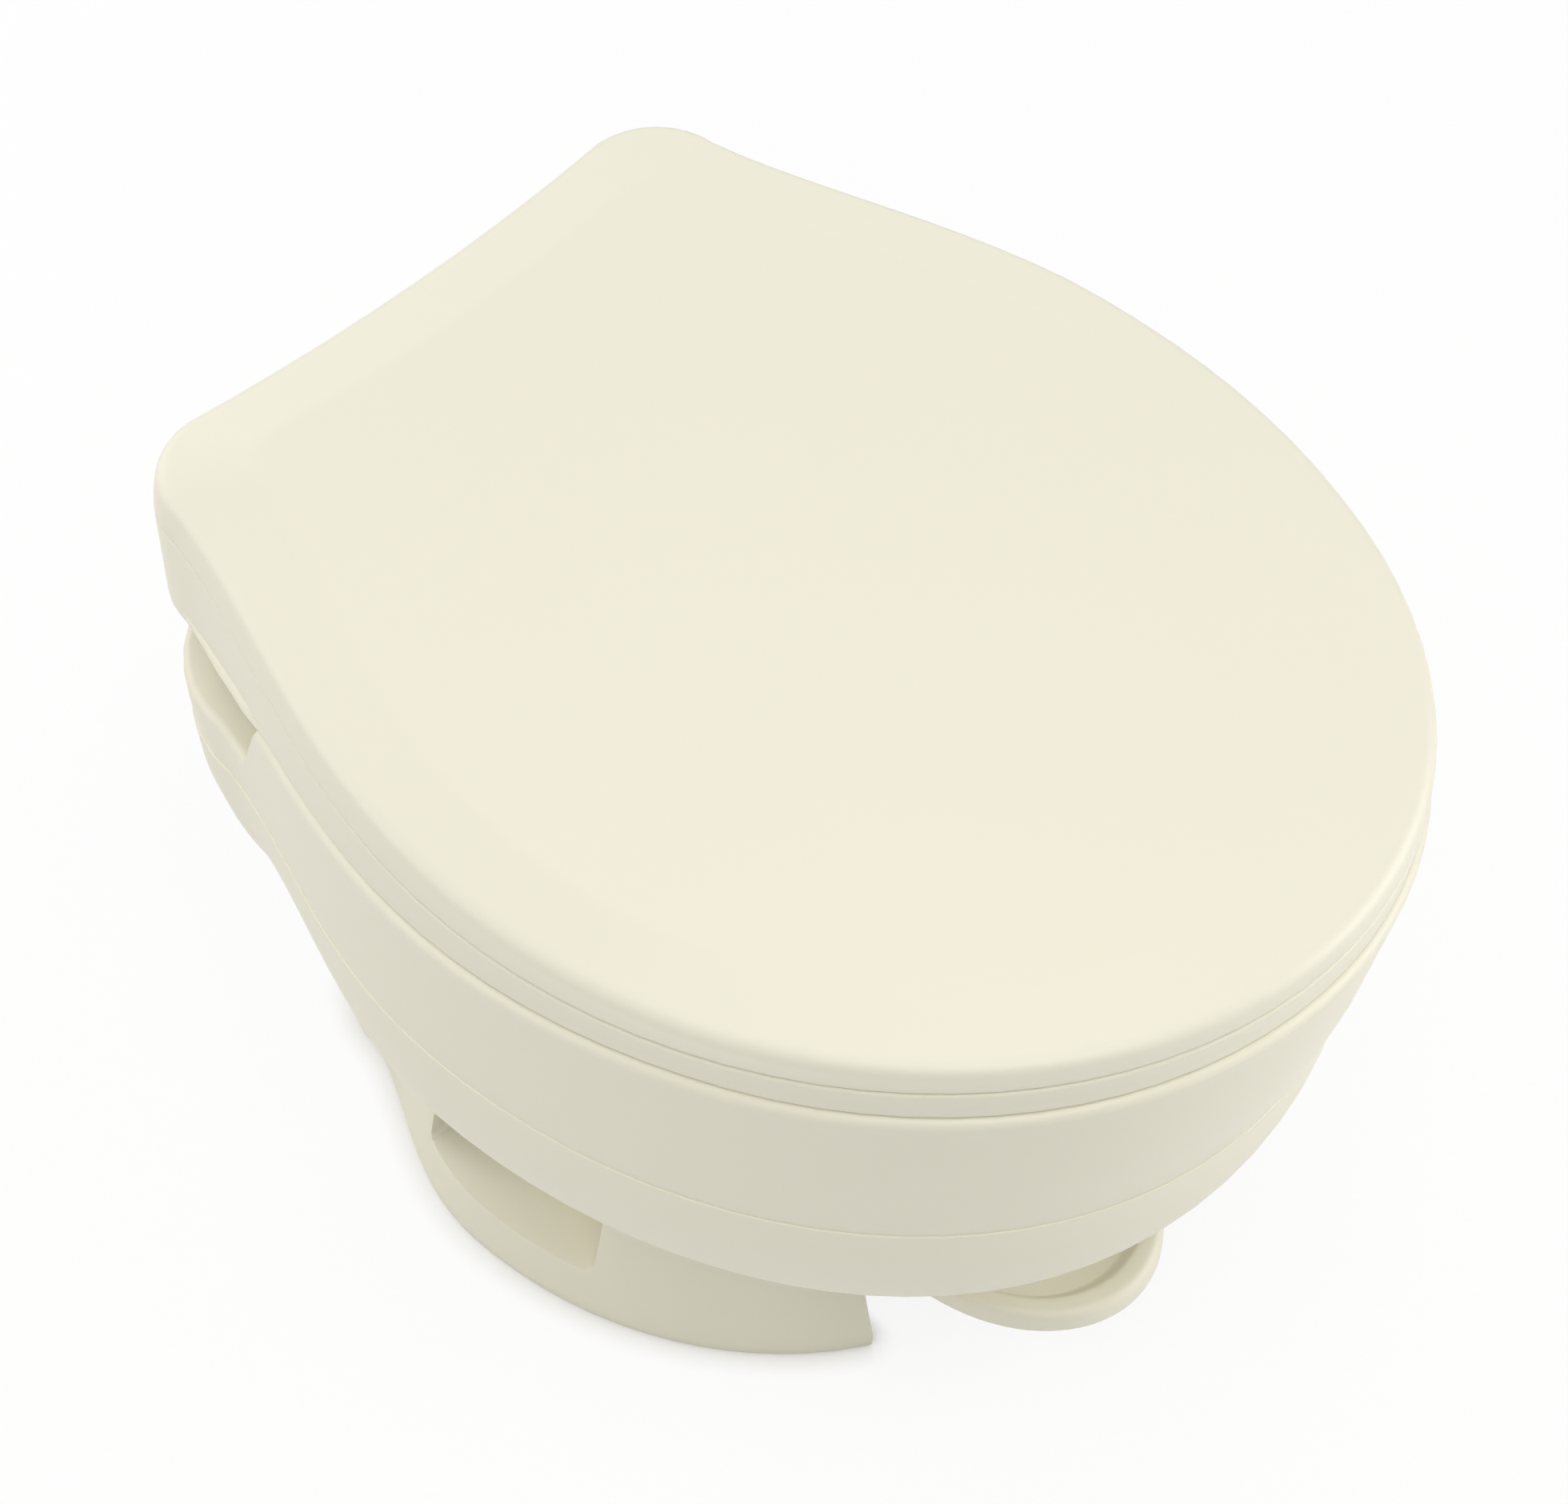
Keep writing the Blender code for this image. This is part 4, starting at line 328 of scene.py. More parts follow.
def turned(name: str, profile: Sequence[Span], centre: Sequence[float], axis: str = "Z",
           steps: int = ROUND_STEPS) -> Piece:
    """Spin a closed profile round an axis.

    Args:
        name: Name of the piece.
        profile: Pairs of radius and place along the axis, in order round the section.
        centre: A point on the axis.
        axis: The axis, X, Y or Z.
        steps: Steps in a full turn.

    Returns:
        The turned piece.
    """
    bm = bmesh.new()
    verts = [bm.verts.new((radius, 0.0, along)) for radius, along in profile]
    edges = [bm.edges.new(pair) for pair in zip(verts, verts[1:] + verts[:1])]
    bmesh.ops.spin(bm, geom=verts + edges, cent=(0, 0, 0), axis=(0, 0, 1), dvec=(0, 0, 0),
                   angle=math.tau, steps=steps, use_merge=True, use_duplicate=False)
    bmesh.ops.remove_doubles(bm, verts=bm.verts, dist=TINY)
    bmesh.ops.transform(bm, matrix=Matrix.Translation(centre) @ TURNS[axis], verts=bm.verts)
    return make_piece(name, bm)


def rod(name: str, radius: float, span: Span, centre: Sequence[float], axis: str = "X",
        steps: int = ROUND_STEPS) -> Piece:
    """Return a plain round bar along an axis."""
    bm = bmesh.new()
    bmesh.ops.create_cone(bm, cap_ends=True, segments=steps, radius1=radius, radius2=radius,
                          depth=span[1] - span[0])
    along = Matrix.Translation((0, 0, (span[0] + span[1]) / 2))
    bmesh.ops.transform(bm, matrix=Matrix.Translation(centre) @ TURNS[axis] @ along, verts=bm.verts)
    return make_piece(name, bm)


def side_blocks(name: str, x_span: Span, y_span: Span, z_span: Span) -> list[Piece]:
    """Return a box on each side of the middle plane."""
    return [block(f"{name}_{side:+d}", side_span(side, *x_span), y_span, z_span) for side in SIDES]


def side_rods(name: str, radius: float, z_span: Span, x: float, y: float) -> list[Piece]:
    """Return an upright round bar on each side of the middle plane."""
    return [rod(f"{name}_{side:+d}", radius, z_span, (side * x, y, 0), "Z", HOLE_STEPS) for side in SIDES]


def pin_bore(radius: float, reach: float) -> Piece:
    """Return the cutter of a bore on the hinge's axis."""
    return rod("pin_bore", radius + GAP, (-reach, reach), (0, LINES.hinge_y, LINES.hinge_z))


def side_plate(name: str, outline: Sequence[Span], x_span: Span) -> Piece:
    """Extrude an outline of y and z along X."""
    bm = bmesh.new()
    face = bm.faces.new([bm.verts.new((x_span[0], y, z)) for y, z in outline])
    made = bmesh.ops.extrude_face_region(bm, geom=[face])["geom"]
    moved = [item for item in made if isinstance(item, Vert)]
    bmesh.ops.translate(bm, verts=moved, vec=(x_span[1] - x_span[0], 0, 0))
    return make_piece(name, bm)


def arc(centre: Span, radius: float, start: float, stop: float, steps: int) -> list[Span]:
    """Return points of an arc in the Y-Z plane, its angles measured from +Y towards +Z."""
    turns = (mix(start, stop, step / steps) for step in range(steps + 1))
    return [(centre[0] + radius * math.cos(turn), centre[1] + radius * math.sin(turn)) for turn in turns]


def quarter(radius: float, steps: int, first: int = 0, full: float = 90.0) -> list[Span]:
    """Return how far a rounded edge has come in and how much it still lies below its top.

    Args:
        radius: Radius of the rounding.
        steps: Steps across it.
        first: The first step that is returned.
        full: Angle of the rounding in degrees, from the wall on.

    Returns:
        Pairs of the depth inwards from the wall and the drop from the top.
    """
    turns = (math.radians(full) * step / steps for step in range(first, steps + 1))
    return [(radius * (1 - math.cos(turn)), radius * (1 - math.sin(turn))) for turn in turns]


def carve(piece: Piece, cutters: Sequence[Piece],
          operation: str = "DIFFERENCE") -> None:
    """Cut, join or clip a piece with others, and delete those."""
    for cutter in cutters:
        modifier = piece.modifiers.new(cutter.name, "BOOLEAN")
        modifier.operation = operation
        modifier.object = cutter
        modifier.solver = "EXACT"
    bpy.context.view_layer.update()
    settled = bpy.data.meshes.new_from_object(piece.evaluated_get(bpy.context.evaluated_depsgraph_get()))
    piece.modifiers.clear()
    old = piece.data
    piece.data = settled
    settled.name = piece.name
    spent = [old] + [cutter.data for cutter in cutters]
    for cutter in cutters:
        bpy.data.objects.remove(cutter)
    for mesh in spent:
        bpy.data.meshes.remove(mesh)


def soften(piece: Piece, chosen: Callable[[Edge], bool], width: float,
           segments: int = 3) -> None:
    """Round the chosen edges of a piece, over a width on each side of them."""
    bm = bmesh.new()
    bm.from_mesh(piece.data)
    bmesh.ops.remove_doubles(bm, verts=bm.verts, dist=MERGE)
    bmesh.ops.dissolve_degenerate(bm, edges=bm.edges, dist=MERGE)
    edges = [edge for edge in bm.edges if len(edge.link_faces) == 2 and chosen(edge)]
    bmesh.ops.bevel(bm, geom=edges, offset=width, offset_type="OFFSET", segments=segments, profile=0.5,
                    affect="EDGES", material=-1, clamp_overlap=True)
    bm.to_mesh(piece.data)
    bm.free()
    shade(piece.data)


def shade(mesh: bpy.types.Mesh) -> None:
    """Shade a mesh smooth but for its sharper edges."""
    mesh.shade_smooth()
    mesh.set_sharp_from_angle(angle=math.radians(SMOOTH_ANGLE))


def midpoint(edge: Edge) -> Vector:
    """Return the middle of an edge."""
    return (edge.verts[0].co + edge.verts[1].co) / 2


def add_node(tree: bpy.types.NodeTree, kind: str, **inputs: object) -> bpy.types.Node:
    """Add a shader node.

    Args:
        tree: The tree that it joins.
        kind: Its type, without the word that all shader nodes begin with.
        inputs: Values or sockets for its inputs, by name with _ for a space; for a number after
            "input", the input of that index.

    Returns:
        The node.
    """
    node = tree.nodes.new("ShaderNode" + kind)
    for name, value in inputs.items():
        if name.startswith("input"):
            socket = node.inputs[int(name.removeprefix("input"))]
        else:
            socket = node.inputs[name.replace("_", " ")]
        if isinstance(value, bpy.types.NodeSocket):
            tree.links.new(value, socket)
        else:
            socket.default_value = value
    return node


def sharp(edge: Edge, degrees: float = 40.0) -> bool:
    """Return whether an edge turns outwards by more than an angle."""
    return edge.is_convex and edge.calc_face_angle(0.0) > math.radians(degrees)


@dataclass(frozen=True)
class Finish:
    """A moulded or plated surface, made of shader nodes on object coordinates."""

    name: str
    colour: Colour
    second: Colour
    roughness: float
    roughness_spread: float = 0.05
    metallic: float = 0.0
    patch_scale: float = 9.0
    grain_scale: float = 900.0
    grain_depth: float = 0.00002
    grain_strength: float = 0.25
    streak: float = 1.0
    coat: float = 0.0
    coat_roughness: float = 0.2

    def build(self) -> bpy.types.Material:
        """Return the material.

        Returns:
            A Principled material whose colour drifts between two close tones in broad patches, whose
            roughness varies with its fine grain, and whose grain also comes from a bump.
        """
        finish = bpy.data.materials.new(self.name)
        finish.use_nodes = True
        tree = finish.node_tree
        shader = tree.nodes["Principled BSDF"]
        shader.inputs["Metallic"].default_value = self.metallic
        shader.inputs["Coat Weight"].default_value = self.coat
        shader.inputs["Coat Roughness"].default_value = self.coat_roughness
        place = add_node(tree, "TexCoord").outputs["Object"]
        stretch = add_node(tree, "Mapping", Vector=place, Scale=(1.0, 1.0, self.streak)).outputs["Vector"]
        patches = add_node(tree, "TexNoise", Vector=stretch, Scale=self.patch_scale, Detail=4.0)
        grain = add_node(tree, "TexNoise", Vector=stretch, Scale=self.grain_scale, Detail=2.0).outputs["Fac"]
        tones = tree.nodes.new("ShaderNodeMix")
        tones.data_type = "RGBA"
        tones.inputs["A"].default_value = (*self.colour, 1.0)
        tones.inputs["B"].default_value = (*self.second, 1.0)
        tree.links.new(patches.outputs["Fac"], tones.inputs["Factor"])
        spread = add_node(tree, "MapRange", Value=grain, To_Min=self.roughness - self.roughness_spread,
                          To_Max=self.roughness + self.roughness_spread)
        bump = add_node(tree, "Bump", Height=grain, Strength=self.grain_strength, Distance=self.grain_depth)
        for output, name in ((tones.outputs["Result"], "Base Color"), (spread.outputs["Result"], "Roughness"),
                             (bump.outputs["Normal"], "Normal")):
            tree.links.new(output, shader.inputs[name])
        return finish


class Surface(Enum):
    """The finishes of the toilet, one for each of the record's slots."""

    CREAM = Finish("cream_plastic", (0.800, 0.770, 0.634), (0.788, 0.758, 0.620), 0.42)
    BOWL = Finish("bowl_plastic", (0.800, 0.772, 0.640), (0.790, 0.760, 0.626), 0.30,
                  grain_strength=0.12, coat=0.25)
    RUBBER = Finish("black_rubber", (0.030, 0.030, 0.030), (0.042, 0.041, 0.040), 0.72,
                    grain_scale=1400.0, grain_depth=0.00005, grain_strength=0.5)
    STEEL = Finish("plated_steel", (0.600, 0.590, 0.560), (0.520, 0.515, 0.500), 0.30, 0.10, 1.0,
                   patch_scale=60.0, grain_scale=1200.0, streak=0.15)
    GREY = Finish("grey_plastic", (0.200, 0.200, 0.200), (0.170, 0.170, 0.172), 0.50,
                  grain_scale=700.0, grain_depth=0.00006, grain_strength=0.4)

    @property
    def material(self) -> bpy.types.Material:
        """Return this finish's material, built the first time it is asked for."""
        name = self.value.name + "_finish"
        return bpy.data.materials.get(name) or replace(self.value, name=name).build()


def dress(piece: Piece, body: str, surface: Surface, *nodes: str) -> Piece:
    """Give a piece its finish, the body it moves with and the nodes it stands for.

    Args:
        piece: The piece.
        body: Name of the body in the record.
        surface: Its finish, which is also its slot.
        nodes: Names of the frame's nodes that it replaces.

    Returns:
        The same piece.
    """
    piece.data.set_sharp_from_angle(angle=math.radians(SMOOTH_ANGLE))
    piece.data.materials.clear()
    piece.data.materials.append(surface.material)
    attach(piece, body)
    if nodes:
        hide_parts(*nodes)
    LOG.info("%s: %d faces, rides on %s", piece.name, len(piece.data.polygons), body)
    return piece


@dataclass
class Lid:
    """Crowned lid with a sloping margin, a flat panel and two lugs on the hinge pins."""

    thickness: float = 0.004
    rounding: float = 0.006
    edge_break: float = 0.0012
    crest_plan: Plan = Plan(0.192, 0.2415, 0.0, 0.2405, 0.1434, 0.0345)
    panel_height: float = 0.3465
    panel_blend: float = 0.16
    panel_insets: Span = (0.006, 0.050)
    lug_x: Span = (0.0855, 0.0985)
    lug_radius: float = 0.009
    lug_break: float = 0.0012
    bore_reach: float = 0.130
    edge_steps: int = 3
    draft_curve: float = 1.6
    shoulder_turn: float = 80.0
    margin_shares: tuple[float, ...] = (0.03, 0.08, 0.16, 0.27, 0.40, 0.54, 0.68, 0.80, 0.85, 0.89,
                                        0.93, 0.97)

    def build(self) -> Piece:
        """Return the lid's shell joined to its lugs."""
        lid = self._shell()
        carve(lid, [self._lug(side) for side in SIDES], "UNION")
        carve(lid, [pin_bore(LINES.pin_radius, self.bore_reach)])
        return dress(lid, "lid", Surface.CREAM, "lid")

    def _shell(self) -> Piece:
        """Return the shell, grown from its underside round its lower edge to its panel."""
        top, over = LINES.shell, self.crest_plan
        foot, crest = LINES.lid_foot, LINES.lid_crest
        wall = top.inset(self.thickness)
        ceiling = lift(crest, -self.thickness)
        skin = Skin(LINES.panel.inset(self.thickness).ring(self.panel_height - self.thickness))
        skin.grow(over.inset(self.rounding + self.thickness / 2).ring(ceiling),
                  over.inset(self.thickness).ring(lift(ceiling, -self.rounding / 2)), wall.ring(foot),
                  top.inset(self.edge_break).ring(foot))
        for up, left in reversed(quarter(self.edge_break, self.edge_steps)[:-1]):
            skin.grow(top.inset(up).ring(lift(foot, left)))
        low = top.ring(lift(foot, self.edge_break))
        high = over.ring(lift(crest, -self.rounding))
        for step in range(1, ARC_STEPS):
            share = step / ARC_STEPS
            draft = share ** self.draft_curve
            skin.grow([Vector((mix(a.x, b.x, draft), mix(a.y, b.y, draft), mix(a.z, b.z, share)))
                       for a, b in zip(low, high)])
        shoulder = [over.inset(depth).ring(lift(crest, -drop))
                    for depth, drop in quarter(self.rounding, ARC_STEPS, full=self.shoulder_turn)]
        panel = LINES.panel.ring(self.panel_height)
        skin.grow(*shoulder, *(self._margin(shoulder[-1], panel, share) for share in self.margin_shares))
        return skin.grow(panel, *(LINES.panel.inset(depth).ring(self.panel_height)
                                  for depth in self.panel_insets)).cap().piece("lid_shell")

    def _margin(self, outer: Ring, inner: Ring, share: float) -> Ring:
        """Return the ring a share of the way up the margin, which eases flat into the panel."""
        left, ease = 1 - share, self.panel_blend
        fall = (left ** 2 / (2 * ease) if left < ease else left - ease / 2) / (1 - ease / 2)
        return [Vector((mix(a.x, b.x, share), mix(a.y, b.y, share), mix(b.z, a.z, fall)))
                for a, b in zip(outer, inner)]

    def _lug(self, side: int) -> Piece:
        """Return the lug that hangs from the rear margin to the hinge pin."""
        y, z, radius = LINES.hinge_y, LINES.hinge_z, self.lug_radius
        root = LINES.lid_crest(y) - self.thickness / 2
        outline = arc((y, z), radius, math.pi, math.tau, ROUND_STEPS // 3)
        outline += [(y + radius, root), (y - radius, root)]
        lug = side_plate(f"lug_{side:+d}", outline, side_span(side, *self.lug_x))
        soften(lug, lambda edge: sharp(edge) and max(v.co.z for v in edge.verts) < root - SLACK,
               self.lug_break, 2)
        return lug


@dataclass
class Seat:
    """Seat ring whose deep rear block houses the hinge."""

    rounding: float = 0.003
    top_rounding: float = 0.0018
    foot_plan: Plan = Plan(0.1926, 0.2401, 0.0, 0.2417, 0.1446, 0.035)
    skirt_rounding: float = 0.0010
    skirt_width: float = 0.009
    skirt_drop: float = 0.0022
    bead_rounding: float = 0.0025
    bead_height: float = 0.005
    bead_shares: tuple[Span, ...] = ((0.0, 0.55), (0.2, 0.72), (0.55, 0.88), (1.0, 1.0))
    bead_start: Span = (0.138, 0.150)
    corner_rounding: float = 0.008
    corner_start: Span = (0.180, 0.215)
    bay_half_width: float = 0.108
    bay_front: float = 0.146
    bay_top: float = 0.314
    knuckle_radius: float = 0.0222
    lug_slot: Span = (0.0835, 0.1005)
    lug_slot_front: float = 0.209
    cut_top: float = 0.352
    bore_reach: float = 0.1278
    bay_slack: float = 0.004
    edge_steps: int = 4
    foot_steps: int = 8
    skirt_slope: float = 0.0008
    edge_width: float = 0.0009

    def build(self) -> Piece:
        """Return the seat with its bay, its slots and its rounded rear edge."""
        seat = self._ring_skin().join().piece("seat_ring")
        behind = LINES.half_length + OVERRUN
        bay_x = (-self.bay_half_width, self.bay_half_width)
        cutters = [block("hinge_bay", bay_x, (self.bay_front, behind),
                         (LINES.hinge_z - OVERRUN * 2, self.bay_top))]
        cutters += side_blocks("lug_slot", self.lug_slot, (self.lug_slot_front, behind),
                               (LINES.hinge_z, self.cut_top))
        carve(seat, cutters + [self._relief(), pin_bore(LINES.pin_radius, self.bore_reach)])
        soften(seat, self._on_bay, self.edge_width, 2)
        return dress(seat, "seat", Surface.CREAM, "seat")

    def _on_bay(self, edge: Edge) -> bool:
        """Return whether an edge is an outer corner of the bay or of a slot."""
        middle = midpoint(edge)
        return (sharp(edge, 60) and middle.y > self.bay_front - SLACK
                and abs(middle.x) < self.bay_half_width + self.bay_slack)

    def _ring_skin(self) -> Skin:
        """Return the ring's section carried round, its outer foot more rounded at the back."""
        opening, upper = LINES.seat_opening, LINES.shell
        foot, face = LINES.seat_foot, LINES.seat_top
        small = self.rounding
        skin = Skin(self._outer_foot(0.0))
        for step in range(1, ARC_STEPS + 1):
            skin.grow(self._outer_foot(math.pi / 2 * step / ARC_STEPS))
        skin.grow(*(self._wall(*pair) for pair in self.bead_shares))
        skin.grow(*(upper.inset(depth).ring(lift(face, -drop))
                    for depth, drop in quarter(self.top_rounding, self.edge_steps)))
        edge = quarter(small, self.edge_steps)
        skin.grow(*(opening.inset(-depth).ring(lift(face, -drop)) for depth, drop in reversed(edge)))
        skin.grow(*(opening.inset(-depth).ring(lift(foot, drop)) for depth, drop in edge))
        inner = opening.inset(-small)
        outer = self.foot_plan.inset(self.skirt_rounding + self.skirt_width)
        for step in range(1, self.foot_steps + 1):
            skin.grow(inner.blend(outer.inset(self.skirt_slope), step / self.foot_steps).ring(foot))
        return skin.grow(outer.ring(lift(foot, -self.skirt_drop)))

    def _joined(self, plain: Ring, bead: Ring, corner: Ring) -> Ring:
        """Return one ring of three: the front's, the bead's beside the block and the rear corner's."""
        return [a.lerp(b, ramp(a.y, *self.bead_start)).lerp(c, ramp(a.y, *self.corner_start))
                for a, b, c in zip(plain, bead, corner)]

    def _foot_ring(self, plan: Plan, rise: float) -> Ring:
        """Return an outline at a height over the skirt's lower edge."""
        return plan.ring(lift(LINES.seat_foot, rise - self.skirt_drop))

    def _wall(self, inward: float, rise: float) -> Ring:
        """Return a ring of the wall just over its foot, where the bead turns in to the wall."""
        height = self.bead_height * rise
        above = self.corner_rounding + self.skirt_rounding * rise
        return self._joined(self._foot_ring(self.foot_plan, height),
                            self._foot_ring(LINES.top.blend(self.foot_plan, inward), height),
                            self._foot_ring(self.foot_plan, above))

    def _outer_foot(self, turn: float) -> Ring:
        """Return a ring of the outer lower edge, at an angle from the underside to the wall."""
        edges = ((self.skirt_rounding, self.foot_plan), (self.bead_rounding, LINES.top),
                 (self.corner_rounding, self.foot_plan))
        return self._joined(*(self._foot_ring(plan.inset(radius * (1 - math.sin(turn))),
                                              radius * (1 - math.cos(turn))) for radius, plan in edges))

    def _relief(self) -> Piece:
        """Return the cutter that rounds the rear edge about the hinge, so the lid swings clear."""
        y, z = LINES.hinge_y, LINES.hinge_z
        reach = LINES.half_width + OVERRUN
        relief = block("relief", (-reach, reach), (y, LINES.half_length + OVERRUN), (z, self.cut_top))
        carve(relief, [rod("relief_core", self.knuckle_radius, (-reach - OVERRUN, reach + OVERRUN), (0, y, z),
                           steps=ROUND_STEPS * 2)])
        return relief


@dataclass
class Bowl:
    """Bowl liner: a flange in the rim's step, a funnel and a round throat."""

    thickness: float = 0.004
    throat_radius: float = 0.034
    throat_foot: float = 0.1388
    throat_height: float = 0.150
    lip: float = 0.0123
    flange_rear: tuple[float, ...] = (0.1247, 0.1517, 0.022)
    edge_rings: tuple[Span, ...] = ((0.004, 0.0), (0.0015, 0.0005), (0.0, 0.002))
    nozzle_radius: float = 0.0063
    nozzle_y: Span = (0.096, 0.1285)
    nozzle_z: float = 0.222
    shares: tuple[Span, ...] = ((0.0, 1.0), (0.015, 0.90), (0.09, 0.68), (0.24, 0.45), (0.46, 0.24),
                                (0.75, 0.08), (1.0, 0.0))
    rings_between: int = 4

    def build(self) -> Piece:
        """Return the liner with the hole for its rinse nozzle."""
        top, edge = LINES.rim_top, LINES.bowl_opening
        inner = [self._ring(*pair, 0.0) for pair in self._smooth_shares()]
        outer = [self._ring(*pair, self.thickness) for pair in self._smooth_shares()]
        flange = Plan(LINES.half_width - self.lip, LINES.half_length - self.lip, 0.0, *self.flange_rear)
        skin = Skin(flange.ring(top, 0.0))
        skin.grow(*(edge.inset(-depth).ring(lift(top, -drop), 0.0) for depth, drop in self.edge_rings))
        skin.grow(*inner[1:], self._throat(self.throat_radius, self.throat_foot),
                  self._throat(self.throat_radius + self.thickness, self.throat_foot), *outer[:0:-1])
        skin.grow(*(plan.ring(lift(top, -self.thickness), 0.0)
                    for plan in (edge.inset(-self.thickness), flange)))
        liner = skin.join().piece("bowl_funnel")
        carve(liner, [rod("nozzle_hole", self.nozzle_radius, self.nozzle_y, (0, 0, self.nozzle_z), "Y",
                          HOLE_STEPS)])
        return dress(liner, "root", Surface.BOWL, "bowl_liner")

    def _smooth_shares(self) -> list[Span]:
        """Return the funnel's section with more points, on a smooth curve through its own."""
        ends = (self.shares[0],) + self.shares + (self.shares[-1],)
        made = []
        for before, first, last, after in zip(ends, ends[1:], ends[2:], ends[3:]):
            for step in range(self.rings_between):
                t = step / self.rings_between
                made.append(tuple(
                    first[i] + t * (last[i] - before[i]) / 2
                    + t ** 2 * (before[i] - 5 * first[i] / 2 + 2 * last[i] - after[i] / 2)
                    + t ** 3 * (3 * (first[i] - last[i]) + after[i] - before[i]) / 2 for i in (0, 1)))
        return made + [self.shares[-1]]

    def _throat(self, radius: float, height: float) -> Ring:
        """Return the throat's ring, each point in the direction of its point of the opening."""
        opening = LINES.bowl_opening
        middle = (opening.rear - opening.front) / 2
        points = []
        for point in opening.ring(0.0, 0.0):
            turn = math.atan2(point.y - middle, point.x)
            points.append(Vector((radius * math.cos(turn), LINES.drain_y + radius * math.sin(turn), height)))
        return points

    def _ring(self, inward: float, height_share: float, out: float) -> Ring:
        """Return the funnel's ring at a place in its section, moved out by a wall's thickness."""
        opening = LINES.bowl_opening.inset(-out).ring(lift(LINES.rim_top, -out), 0.0)
        throat = self._throat(self.throat_radius + out, self.throat_height - out)
        return [Vector((mix(a.x, b.x, inward), mix(a.y, b.y, inward), mix(b.z, a.z, height_share)))
                for a, b in zip(opening, throat)]


